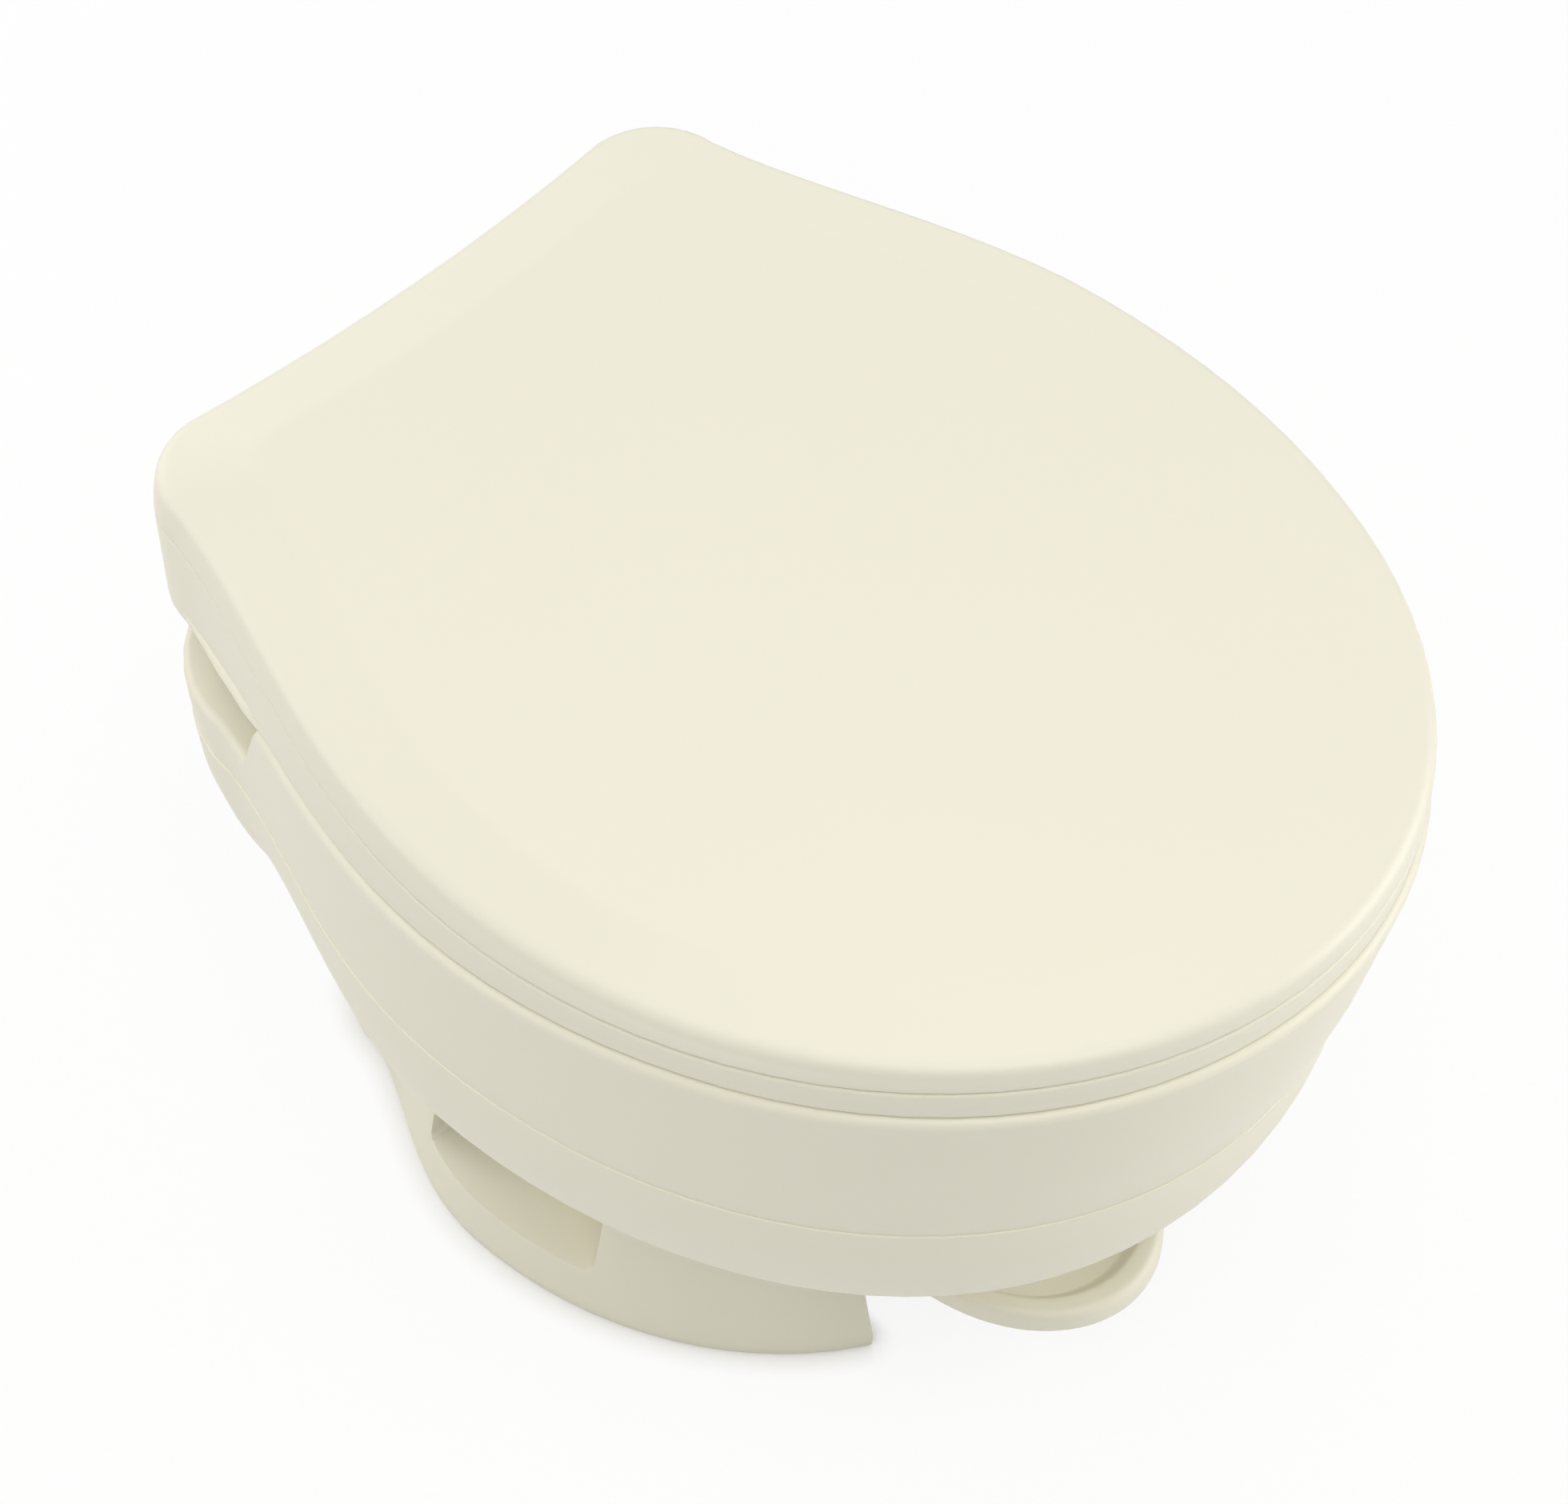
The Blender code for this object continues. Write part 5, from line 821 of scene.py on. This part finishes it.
@dataclass
class Body:
    """Outer body: a band under the rim, a belly that turns under, and a low deck behind."""

    thickness: float = 0.005
    rim_rounding: float = 0.0045
    rim_lip: float = 0.012
    step_depth: float = 0.0045
    step_width: float = 0.006
    step_height: float = 0.008
    crease_height: float = 0.222
    crease_step: float = 0.0008
    belly_height: float = 0.130
    waist_height: float = 0.1035
    belly_curve: float = 1.9
    belly_steps: int = 16
    under_straight: float = 0.3
    under_curve: float = 2.2
    under_spread: float = 1.5
    under_steps: int = 12
    crease_steps: int = 4
    crease_end: Span = (0.9, 2.5)
    band_top: float = 0.3036
    band_lag: float = 0.97
    band_shares: tuple[float, ...] = (0.10, 0.24, 0.38, 0.52)
    upper_shares: tuple[float, ...] = (0.35, 0.70, 0.92, 1.0)
    rim_steps: int = 7
    lip_steps: int = 8
    chamber_under: tuple[float, ...] = (1.0, 0.85, 0.65, 0.3, 0.0)
    chamber_drops: tuple[float, ...] = (0.8, 0.6, 0.4, 0.2, 0.0)
    well_rear: float = 0.125
    well_rear_half_width: float = 0.152
    well_corner: float = 0.022
    well_top: float = 0.3975
    shelf_rear: float = 0.122
    cut_top: float = 0.34875
    notch_x: float = 0.112
    notch_y: Span = (0.132, 0.147)
    side_notch_y: Span = (0.115, 0.160)
    deck_rounding: float = 0.008
    hole_radius: float = 0.0043
    hole_z: Span = (0.21, 0.26)
    hole_surround: float = 0.012
    level_slack: float = 2e-4

    def build(self) -> Piece:
        """Return the body, hollow under its deck and open for the bowl."""
        body = self._outside().piece("body_shell")
        deck, behind = LINES.deck_height, LINES.half_length + OVERRUN
        reach = LINES.half_width + OVERRUN
        cutters = [self._chamber().piece("body_chamber"), self._well().piece("body_well")]
        for name, (top_y, foot_y), span in (("centre", self.notch_y, (-self.notch_x, self.notch_x)),
                                            ("left", self.side_notch_y, (-reach, -self.notch_x)),
                                            ("right", self.side_notch_y, (self.notch_x, reach))):
            slope = [(top_y, self.cut_top), (foot_y, deck), (behind, deck), (behind, self.cut_top)]
            cutters.append(side_plate(f"notch_{name}", slope, span))
        cutters += side_rods("deck_hole", self.hole_radius, self.hole_z, LINES.bolt_x, LINES.bolt_y)
        carve(body, cutters)
        soften(body, self._on_ledge, self.deck_rounding, 4)
        return dress(body, "root", Surface.CREAM, "outer_body")

    def _on_ledge(self, edge: Edge) -> bool:
        """Return whether an edge is the outer edge of the deck behind the notch."""
        for vert in edge.verts:
            if abs(vert.co.z - LINES.deck_height) >= self.level_slack or vert.co.y <= self.notch_y[1]:
                return False
        bolt = Vector((LINES.bolt_x, LINES.bolt_y))
        clear = max((Vector((abs(vert.co.x), vert.co.y)) - bolt).length for vert in edge.verts)
        return clear > self.hole_surround and sharp(edge, 60)

    def _band(self, height: float) -> Plan:
        """Return the band's outline at a height between the crease and the rim."""
        top = LINES.rim_top(-LINES.half_length)
        return LINES.crease.blend(LINES.top, ramp(height, self.crease_height, top))

    def _belly(self, drop: float) -> Plan:
        """Return the belly's outline a share of the way down from the crease."""
        return LINES.crease.blend(LINES.belly, drop ** self.belly_curve)

    def _under(self, share: float) -> Plan:
        """Return the outline a share of the way under, from the belly to the waist."""
        straight = self.under_straight
        return LINES.belly.blend(LINES.waist, straight * share + (1 - straight) * share ** self.under_curve)

    def _outside(self) -> Skin:
        """Return the outside from the waist up to the rim and in to the bowl's recess."""
        top, rim, crease = LINES.top, LINES.rim_top, LINES.crease
        low, small = self.crease_height, self.crease_step
        skin = Skin(LINES.waist.ring(self.waist_height))
        for step in range(1, self.under_steps):
            share = 1 - (step / self.under_steps) ** self.under_spread
            skin.grow(self._under(share).ring(mix(self.belly_height, self.waist_height, share)))
        for step in range(self.belly_steps + 1):
            drop = 1 - step / self.belly_steps
            skin.grow(self._belly(drop).ring(mix(low, self.belly_height, drop)))
        skin.grow(*(crease.inset(depth).ring(low + small - drop)
                    for depth, drop in quarter(small, self.crease_steps, first=1)))
        skin.grow(crease.inset(small * self.crease_end[0]).ring(low + small * self.crease_end[1]))
        last = self.band_shares[-1]
        lowest = mix(low, self.band_top, last)
        for share in self.band_shares:
            skin.grow(crease.blend(top, share * self.band_lag).ring(mix(low, self.band_top, share)))
        for share in self.upper_shares:
            plan = crease.blend(top, mix(last * self.band_lag, 1.0, share))
            skin.grow([Vector((point.x, point.y, mix(lowest, rim(point.y) - self.rim_rounding, share)))
                       for point in plan.ring(0.0)])
        skin.grow(*(top.inset(depth).ring(lift(rim, -drop))
                    for depth, drop in quarter(self.rim_rounding, self.rim_steps, first=1)))
        edge = top.inset(self.rim_rounding)
        recess = self._opening(self.rim_lip + self.step_width * 2, self.step_width * 2)
        skin.grow(*(edge.blend(recess, step / self.lip_steps).ring(rim) for step in range(1, self.lip_steps)))
        return skin.grow(recess.ring(rim), recess.ring(LINES.deck_height)).cap()

    def _opening(self, depth: float, rear_depth: float = 0.0) -> Plan:
        """Return the outline of the bowl's well, closed ahead of the deck."""
        return Plan(LINES.half_width - depth, LINES.half_length - depth, 0.0, self.well_rear - rear_depth,
                    self.well_rear_half_width - rear_depth, self.well_corner)

    def _chamber(self) -> Skin:
        """Return the cutter for the space under the deck and inside the belly."""
        wall = self.thickness
        skin = Skin(LINES.waist.inset(wall).ring(self.waist_height - OVERRUN))
        for share in self.chamber_under:
            height = mix(self.belly_height, self.waist_height, share) + wall * share
            skin.grow(self._under(share).inset(wall).ring(height))
        for drop in self.chamber_drops:
            skin.grow(self._belly(drop).inset(wall).ring(mix(self.crease_height, self.belly_height, drop)))
        return skin.grow(LINES.crease.inset(wall).ring(LINES.deck_height - LINES.deck_thickness)).cap()

    def _well(self) -> Skin:
        """Return the cutter for the bowl's well, with the step that carries its flange."""
        wall, across, corner = self.thickness, self.well_rear_half_width, self.well_corner
        shelf = lift(LINES.rim_top, -self.step_depth - self.step_height)
        seat = lift(LINES.rim_top, -self.step_depth)
        low = replace(LINES.crease.inset(wall * 2), rear=self.shelf_rear - wall,
                      rear_half_width=across - wall, corner=corner - wall)
        wide = replace(self._band(shelf(0.0)).inset(wall), rear=self.shelf_rear,
                       rear_half_width=across, corner=corner)
        narrow = self._opening(self.rim_lip + self.step_width, self.step_width)
        lip = self._opening(self.rim_lip)
        skin = Skin(low.ring(LINES.deck_height - LINES.deck_thickness * 2, 0.0))
        return skin.grow(wide.ring(shelf, 0.0), narrow.ring(shelf, 0.0), narrow.ring(seat, 0.0),
                         lip.ring(seat, 0.0), lip.ring(self.well_top, 0.0)).cap()


@dataclass
class Base:
    """Pedestal base: a hollow foot with two side windows and a mouth for the pedal."""

    kerb: float = 0.006
    wall: float = 0.005
    floor: float = 0.014
    foot_break: float = 0.0010
    break_middle: float = 0.3
    kerb_rows: Span = (0.8, 1.2)
    top: float = 0.1032
    waist_height: float = 0.1035
    window_y: Span = (0.0020, 0.1000)
    window_z: Span = (0.0230, 0.0860)
    window_corner: float = 0.0040
    window_lip: float = 0.0018
    window_reach: float = 0.225
    corner_steps: int = 8
    outer_slack: float = 0.0015
    mouth_lip: float = 0.0035
    pocket_x: float = 0.1140
    pocket_wall: float = 0.004
    hole_x: Span = (0.1060, 0.1200)
    hole_y: Span = (0.0780, 0.0960)
    hole_z: Span = (0.0340, 0.0820)
    mouth_half_width: float = 0.0575
    mouth_foot_half_width: float = 0.068
    foot_curve: float = 1.6
    mouth_rear: float = -0.060
    mouth_top: float = 0.078
    outlet_radius: float = 0.038
    recess_radius: float = 0.060
    recess_height: float = 0.008
    closet_bolt_x: float = 0.0725
    head_radius: float = 0.0063
    head_height: float = 0.0028
    bolt_radius: float = 0.0033
    rib_x: Span = (0.078, 0.086)
    rib_half_depth: float = 0.015
    rib_rise: float = 0.014
    bushing_radius: float = 0.0075
    inlet_x: float = -0.0715
    inlet_y: float = 0.155
    inlet_radius: float = 0.0078
    rows: int = 10
    chamber_rows: int = 8

    def build(self) -> Piece:
        """Return the base with its rounded windows and mouth."""
        base = self._outside().piece("base_shell")
        carve(base, [self._chamber()])
        holes = side_blocks("window_hole", self.hole_x, self.hole_y, self.hole_z)
        carve(base, [self._window(side) for side in SIDES] + holes + [self._mouth()])
        soften(base, self._on_window, self.window_lip, 4)
        soften(base, self._on_mouth, self.mouth_lip, 5)
        carve(base, self._drain_cutters())
        y, z = LINES.pedal_y, LINES.pedal_z
        carve(base, side_blocks("pedal_rib", self.rib_x, (y - self.rib_half_depth, y + self.rib_half_depth),
                                (self.floor / 2, z + self.rib_rise)), "UNION")
        carve(base, [rod("bushing_bore", self.bushing_radius + GAP, PEDAL_BORE, (0, y, z))])
        return dress(base, "root", Surface.CREAM, "pedestal_base")

    def _outline(self, depth: float, height: float) -> Ring:
        """Return the wall's ring at a height, drawn in by a depth."""
        return self._plan(height).inset(depth).ring(height)

    def _plan(self, height: float) -> Plan:
        """Return the foot's outline at a height, which flares towards the floor."""
        share = 1 - (1 - ramp(height, self.kerb, self.waist_height)) ** self.foot_curve
        return LINES.base.blend(LINES.waist, share)

    def _mouth(self) -> Piece:
        """Return the cutter for the pedal's mouth, wider at the floor."""
        front, rear = -LINES.half_length, self.mouth_rear
        low, high = ([Vector((x * half, y, height))
                      for x, y in ((-1, front), (1, front), (1, rear), (-1, rear))]
                     for half, height in ((self.mouth_foot_half_width, 0.0),
                                          (self.mouth_half_width, self.mouth_top)))
        below = [point - Vector((0, 0, OVERRUN)) for point in low]
        return Skin(below).grow(low, high).cap().piece("pedal_mouth")

    def _outside(self) -> Skin:
        """Return the solid form of the foot, its lower edge broken and its kerb eased."""
        broken, part = self.foot_break, self.foot_break * self.break_middle
        low, high = (self.kerb * share for share in self.kerb_rows)
        skin = Skin(self._outline(broken, 0.0))
        skin.grow(self._outline(part, part), self._outline(0.0, broken),
                  self._outline(0.0, low), self._outline(0.0, high))
        return skin.grow(*(self._outline(0.0, mix(high, self.top, row / self.rows))
                           for row in range(1, self.rows + 1))).cap()

    def _chamber(self) -> Piece:
        """Return the cutter for the hollow, which leaves a pocket behind each window."""
        rows, wall = self.chamber_rows, self.pocket_wall
        skin = Skin(self._outline(self.wall, self.floor))
        skin.grow(*(self._outline(self.wall, mix(self.floor, self.waist_height + GAP, row / rows))
                    for row in range(1, rows + 1)))
        chamber = skin.cap().piece("base_chamber")
        carve(chamber, side_blocks("pocket", (self.pocket_x - wall, self.window_reach),
                                   (self.window_y[0] - wall, self.window_y[1] + wall),
                                   (0.0, self.window_z[1] + wall)))
        return chamber

    def _window(self, side: int) -> Piece:
        """Return the cutter for a window with rounded corners."""
        corner = self.window_corner
        rear, front = self.window_y[1] - corner, self.window_y[0] + corner
        top, foot = self.window_z[1] - corner, self.window_z[0] + corner
        outline = []
        for turn, place in enumerate(((rear, top), (front, top), (front, foot), (rear, foot))):
            start = math.pi / 2 * turn
            outline += arc(place, corner, start, start + math.pi / 2, self.corner_steps)
        return side_plate(f"window_{side:+d}", outline, side_span(side, self.pocket_x, self.window_reach))

    def _on_window(self, edge: Edge) -> bool:
        """Return whether an edge is the outer lip of a window."""
        middle = midpoint(edge)
        return (sharp(edge, 50) and abs(middle.x) > self.pocket_x + SLACK * 2
                and self.window_y[0] - SLACK < middle.y < self.window_y[1] + SLACK
                and self.window_z[0] - SLACK < middle.z < self.window_z[1] + SLACK)

    def _on_mouth(self, edge: Edge) -> bool:
        """Return whether an edge is the outer lip of the pedal's mouth."""
        middle = midpoint(edge)
        return (sharp(edge, 50) and abs(middle.x) < self.mouth_foot_half_width + SLACK
                and middle.y < self.mouth_rear - self.wall - SLACK
                and self.foot_break < middle.z < self.mouth_top + SLACK and self._is_outer(middle))

    def _is_outer(self, point: Vector) -> bool:
        """Return whether a point lies on the wall's outer face."""
        plan = self._plan(point.z)
        across = min(1.0, abs(point.x) / plan.half_width)
        face = plan.centre - (plan.front + plan.centre) * math.sqrt(1 - across ** 2)
        return point.y < face + self.outer_slack

    def _drain_cutters(self) -> list[Piece]:
        """Return the cutters for the outlet, its recess, the bolt holes and the inlet's hole."""
        y = LINES.drain_y
        cutters = [rod("outlet_hole", self.outlet_radius, (-OVERRUN, OVERRUN), (0, y, 0), "Z"),
                   rod("seal_recess", self.recess_radius, (-OVERRUN, self.recess_height), (0, y, 0), "Z")]
        cutters += side_rods("head_recess", self.head_radius, (-OVERRUN, self.head_height),
                             self.closet_bolt_x, y)
        cutters += side_rods("bolt_hole", self.bolt_radius, (-OVERRUN, OVERRUN), self.closet_bolt_x, y)
        return cutters + [rod("inlet_hole", self.inlet_radius, (self.inlet_y, LINES.half_length),
                              (self.inlet_x, 0, LINES.ball_z), "Y", HOLE_STEPS)]


@dataclass
class Pedal:
    """Foot pedal: a dished tread on a tongue that ends in a hub."""

    half_width: float = 0.0575
    dish_rear: float = -0.100
    tip: float = -0.1753
    underside: float = 0.0455
    edge: float = 0.0045
    rim_top: float = 0.060
    rim_width: float = 0.010
    dish_start: float = 0.009
    dish_floor: float = 0.0545
    dish_slope: float = 0.007
    tongue_half_width: float = 0.045
    tongue_foot: float = 0.0425
    tongue_top: float = 0.0535
    tongue_overlap: float = 0.004
    tongue_rounding: float = 0.0015
    long_edge: float = 0.01
    hub_radius: float = 0.011
    hub_half_length: float = 0.048
    shaft_radius: float = 0.005
    steps: int = 64
    underside_steps: int = 4
    rim_steps: int = 6
    slope_steps: int = 10

    def build(self) -> Piece:
        """Return the pedal."""
        pedal = self._dish().piece("pedal_tread")
        y, half = LINES.pedal_y, self.hub_half_length
        tongue = block("pedal_tongue", (-self.tongue_half_width, self.tongue_half_width),
                       (self.dish_rear - self.tongue_overlap, y), (self.tongue_foot, self.tongue_top))
        soften(tongue, lambda edge: sharp(edge) and self._along(edge), self.tongue_rounding, 3)
        place = (0, y, LINES.pedal_z)
        carve(pedal, [tongue, rod("pedal_hub", self.hub_radius, (-half, half), place)], "UNION")
        carve(pedal, [rod("shaft_bore", self.shaft_radius + GAP, PEDAL_BORE, place)])
        return dress(pedal, "pedal", Surface.CREAM, "flush_pedal")

    def _along(self, edge: Edge) -> bool:
        """Return whether an edge runs along the tongue."""
        return abs(edge.verts[0].co.y - edge.verts[1].co.y) > self.long_edge

    def _dish(self) -> Skin:
        """Return the tread from its underside over its rim to the floor of its dish."""
        edge = self.edge
        skin = Skin(self._ring(edge, self.underside))
        skin.grow(*(self._ring(depth, self.underside + rise)
                    for rise, depth in quarter(edge, self.underside_steps, first=1)))
        skin.grow(*(self._ring(depth, self.rim_top - drop) for depth, drop in quarter(edge, self.rim_steps)))
        skin.grow(self._ring((edge + self.rim_width) / 2, self.rim_top))
        for step in range(self.slope_steps + 1):
            share = step / self.slope_steps
            fall = share * share * (3 - 2 * share)
            skin.grow(self._ring(self.dish_start + self.dish_slope * share,
                                 mix(self.rim_top, self.dish_floor, fall)))
        return skin.cap()

    def _ring(self, depth: float, height: float) -> Ring:
        """Return a half-round ring, straight at the back and drawn in by a depth."""
        turns = (math.pi * (step / self.steps - 0.5) for step in range(self.steps + 1))
        reach = self.dish_rear - self.tip - depth * 2
        return [Vector(((self.half_width - depth) * math.sin(turn),
                        self.dish_rear - depth - reach * math.cos(turn), height)) for turn in turns]


@dataclass
class Hinge:
    """Two gooseneck brackets on the deck, with their bolts and wing nuts."""

    bracket_x: Span = (0.062, 0.082)
    leg_y: Span = (0.150, 0.166)
    foot_rear: float = 0.190
    foot_height: float = 0.006
    arm_half_height: float = 0.0085
    boss_radius: float = 0.0105
    boss_steps: int = 30
    fillet: float = 0.004
    fillet_middle: float = 0.3
    edge_width: float = 0.0012
    bore_reach: float = 0.13
    bore_margin: float = 0.01
    bolt_radius: float = 0.004
    tip_break: float = 0.0006
    bolt_length: float = 0.030
    head_radius: float = 0.008
    head_height: float = 0.004
    head_edge: float = 0.0014
    dome_steps: int = 8
    slot_width: float = 0.0014
    slot_floor: float = 0.0022
    nut_radius: float = 0.008
    nut_height: float = 0.007
    nut_taper: Span = (0.3, 0.8)
    wing_length: float = 0.017
    wing_thickness: float = 0.0025
    wing_rise: float = 0.006
    wing_rounding: float = 0.0035

    def build(self) -> list[Piece]:
        """Return both sides' brackets, bolts and wing nuts."""
        return [make(side) for side in SIDES for make in (self._bracket, self._bolt, self._wing_nut)]

    def _bracket(self, side: int) -> Piece:
        """Return a bracket with rounded edges and bores for the pin and the bolt."""
        word, (front, rear) = side_name(side), self.leg_y
        foot, half = LINES.deck_height + GAP, self.arm_half_height
        top, round_out, bulge = foot + self.foot_height, self.fillet, self.fillet * self.fillet_middle
        lean = math.asin(half / self.boss_radius)
        outline = [(front, foot), (self.foot_rear, foot), (self.foot_rear, top), (rear + round_out, top),
                   (rear + bulge, top + bulge), (rear, top + round_out), (rear, LINES.hinge_z - half)]
        outline += arc((LINES.hinge_y, LINES.hinge_z), self.boss_radius, lean - math.pi, math.pi - lean,
                       self.boss_steps)
        outline.append((front, LINES.hinge_z + half))
        bracket = side_plate(f"gooseneck_{word}", outline, side_span(side, *self.bracket_x))
        soften(bracket, lambda edge: sharp(edge, 25) and min(v.co.z for v in edge.verts) > foot + SLACK / 2,
               self.edge_width, 3)
        carve(bracket, [pin_bore(LINES.pin_radius, self.bore_reach),
                        self._bolt_bore(side, foot - self.bore_margin, foot + self.bore_margin * 2)])
        return dress(bracket, "root", Surface.CREAM, f"hinge_bracket_{word}")

    def _bolt_bore(self, side: int, low: float, high: float) -> Piece:
        """Return the cutter of a bolt's bore between two heights."""
        return rod("bolt_bore", self.bolt_radius + GAP, (low, high), (side * LINES.bolt_x, LINES.bolt_y, 0),
                   "Z", HOLE_STEPS)

    def _bolt(self, side: int) -> Piece:
        """Return a bolt with a domed, slotted head."""
        word, x, y = side_name(side), side * LINES.bolt_x, LINES.bolt_y
        shank, head, tip = self.bolt_radius, self.head_radius, self.tip_break
        seat = LINES.deck_height + self.foot_height + GAP * 2
        foot, rim = seat - self.bolt_length, seat + self.head_edge
        profile = [(0.0, foot), (shank - tip, foot), (shank, foot + tip), (shank, seat), (head, seat),
                   (head, rim)]
        for step in range(1, self.dome_steps + 1):
            turn = math.pi / 2 * step / self.dome_steps
            profile.append((head * math.cos(turn),
                            rim + (self.head_height - self.head_edge) * math.sin(turn)))
        bolt = turned(f"deck_bolt_{word}", profile, (x, y, 0))
        half, reach = self.slot_width / 2, self.bore_margin
        carve(bolt, [block("slot", (x - half, x + half), (y - reach, y + reach),
                           (seat + self.slot_floor, seat + reach))])
        return dress(bolt, "root", Surface.GREY, f"hinge_bolt_{word}")

    def _wing_nut(self, side: int) -> Piece:
        """Return a wing nut with rounded wings."""
        word, x, y = side_name(side), side * LINES.bolt_x, LINES.bolt_y
        radius, height, half = self.nut_radius, self.nut_height, self.wing_thickness / 2
        top = LINES.deck_height - LINES.deck_thickness - GAP
        straight, narrow = self.nut_taper
        profile = [(0.0, top), (radius, top), (radius, top - height * straight),
                   (radius * narrow, top - height), (0.0, top - height)]
        nut = turned(f"deck_nut_{word}", profile, (x, y, 0))
        wings = block("wings", (x - self.wing_length, x + self.wing_length), (y - half, y + half),
                      (top - height - self.wing_rise, top - height / 4))
        soften(wings, lambda edge: sharp(edge) and abs(edge.verts[0].co.y - edge.verts[1].co.y) > half,
               self.wing_rounding, 5)
        carve(nut, [wings], "UNION")
        carve(nut, [self._bolt_bore(side, top - self.bore_margin * 3, top + self.bore_margin)])
        return dress(nut, "root", Surface.GREY, f"wing_nut_{word}")


class Workings:
    """The parts of the frame whose shapes stay: they get their finishes here."""

    def dress(self) -> None:
        """Give every node of the frame the finish of its slot in the record."""
        finishes = {surface.value.name: surface for surface in Surface}
        for part in frame["record"]["subparts"]:
            node = frame["nodes"][part["node"]]
            material = finishes[part["material_slot"]].material
            for slot in node.material_slots:
                slot.material = material
            LOG.info("%s: finish %s", part["node"], part["material_slot"])


@dataclass
class Stage:
    """Pale floor, white surroundings, soft lamps and the camera."""

    floor_size: float = 14.0
    floor_tone: Colour = (0.93, 0.93, 0.93)
    floor_glow: Span = (0.0, 0.86)
    contact_reach: float = 0.012
    contact_share: float = 0.5
    ambient: float = 0.25
    target: Vector = field(default_factory=lambda: Vector((0.0, 0.0, 0.2)))
    lamps: tuple[tuple[str, Sequence[float], float, float], ...] = (
        ("overhead", (0.0, 0.0, 2.2), 1.8, 9.4),
        ("behind_camera", (-0.853, -0.844, 1.9), 1.4, 16.7),
        ("left_side", (-1.408, 1.420, 0.9), 1.6, 11.1),
        ("right_side", (1.408, -1.420, 0.9), 1.6, 22.5),
        ("back", (1.422, 1.406, 1.2), 1.6, 5.6),
        ("left_back", (0.010, 2.0, 1.0), 1.4, 11.6),
    )
    camera_place: Vector = field(default_factory=lambda: Vector((-0.76524, -0.73206, 1.57382)))
    camera_right: Vector = field(default_factory=lambda: Vector((0.7042, -0.7100, 0.0012)))
    camera_down: Vector = field(default_factory=lambda: Vector((-0.5538, -0.5504, -0.6248)))
    lens: float = 100.594
    sensor: float = 36.0

    def build(self) -> None:
        """Make the floor, the world, the lamps and the camera."""
        self._floor()
        self._world()
        for lamp in self.lamps:
            self._lamp(*lamp)
        self._camera()
        bpy.context.scene.view_settings.view_transform = "Standard"

    def _floor(self) -> None:
        """Lay the floor: white of its own that the camera alone sees, less of it near the object."""
        bm = bmesh.new()
        bmesh.ops.create_grid(bm, x_segments=1, y_segments=1, size=self.floor_size / 2)
        floor = make_piece("studio_floor", bm)
        tone = bpy.data.materials.new("floor_paint")
        tone.use_nodes = True
        tree = tone.node_tree
        tree.nodes.clear()
        paint = add_node(tree, "BsdfDiffuse", Color=(*self.floor_tone, 1.0)).outputs["BSDF"]
        glow = add_node(tree, "Emission", Color=WHITE).outputs["Emission"]
        contact = add_node(tree, "AmbientOcclusion", Distance=self.contact_reach).outputs["AO"]
        level = add_node(tree, "MapRange", Value=contact, From_Min=self.contact_share,
                         To_Min=self.floor_glow[0], To_Max=self.floor_glow[1]).outputs["Result"]
        seen = add_node(tree, "LightPath").outputs["Is Camera Ray"]
        share = add_node(tree, "Math", input0=seen, input1=level)
        share.operation = "MULTIPLY"
        blend = add_node(tree, "MixShader", Fac=share.outputs["Value"], input1=paint, input2=glow)
        add_node(tree, "OutputMaterial", Surface=blend.outputs["Shader"])
        floor.data.materials.append(tone)

    def _world(self) -> None:
        """Light from all round, and white where the camera, metal or gloss sees past the floor."""
        world = bpy.data.worlds.new("studio")
        bpy.context.scene.world = world
        world.use_nodes = True
        tree = world.node_tree
        tree.nodes.clear()
        soft = add_node(tree, "Background", Color=WHITE, Strength=self.ambient).outputs["Background"]
        white = add_node(tree, "Background", Color=WHITE).outputs["Background"]
        rays = add_node(tree, "LightPath").outputs
        seen = rays["Is Camera Ray"]
        for name in ("Is Glossy Ray", "Is Transmission Ray"):
            either = add_node(tree, "Math", input0=seen, input1=rays[name])
            either.operation = "MAXIMUM"
            seen = either.outputs["Value"]
        blend = add_node(tree, "MixShader", Fac=seen, input1=soft, input2=white)
        add_node(tree, "OutputWorld", Surface=blend.outputs["Shader"])

    def _lamp(self, name: str, place: Sequence[float], size: float, power: float) -> None:
        """Add a square area lamp that looks at the target."""
        lamp = bpy.data.lights.new(name, "AREA")
        lamp.size = size
        lamp.energy = power
        holder = bpy.data.objects.new(name, lamp)
        holder.location = place
        holder.rotation_euler = (self.target - Vector(place)).to_track_quat("-Z", "Y").to_euler()
        bpy.context.scene.collection.objects.link(holder)

    def _camera(self) -> None:
        """Place the camera where the photograph was taken from."""
        right = self.camera_right.normalized()
        up = -self.camera_down.normalized()
        back = right.cross(up).normalized()
        lens = bpy.data.cameras.new("photo_camera")
        lens.lens = self.lens
        lens.sensor_width = self.sensor
        lens.sensor_fit = "HORIZONTAL"
        camera = bpy.data.objects.new("photo_camera", lens)
        turn = Matrix((right, back.cross(right), back)).transposed().to_4x4()
        camera.matrix_world = Matrix.Translation(self.camera_place) @ turn
        bpy.context.scene.collection.objects.link(camera)
        bpy.context.scene.camera = camera


def main() -> None:
    """Build the toilet's sub-assemblies in order, then the studio round it."""
    logging.basicConfig(level=logging.INFO, format="%(message)s")
    Workings().dress()
    for assembly in (Lid(), Seat(), Bowl(), Body(), Base(), Pedal(), Hinge()):
        assembly.build()
        LOG.info("built %s", type(assembly).__name__)
    Stage().build()


if __name__ == "__main__":
    main()
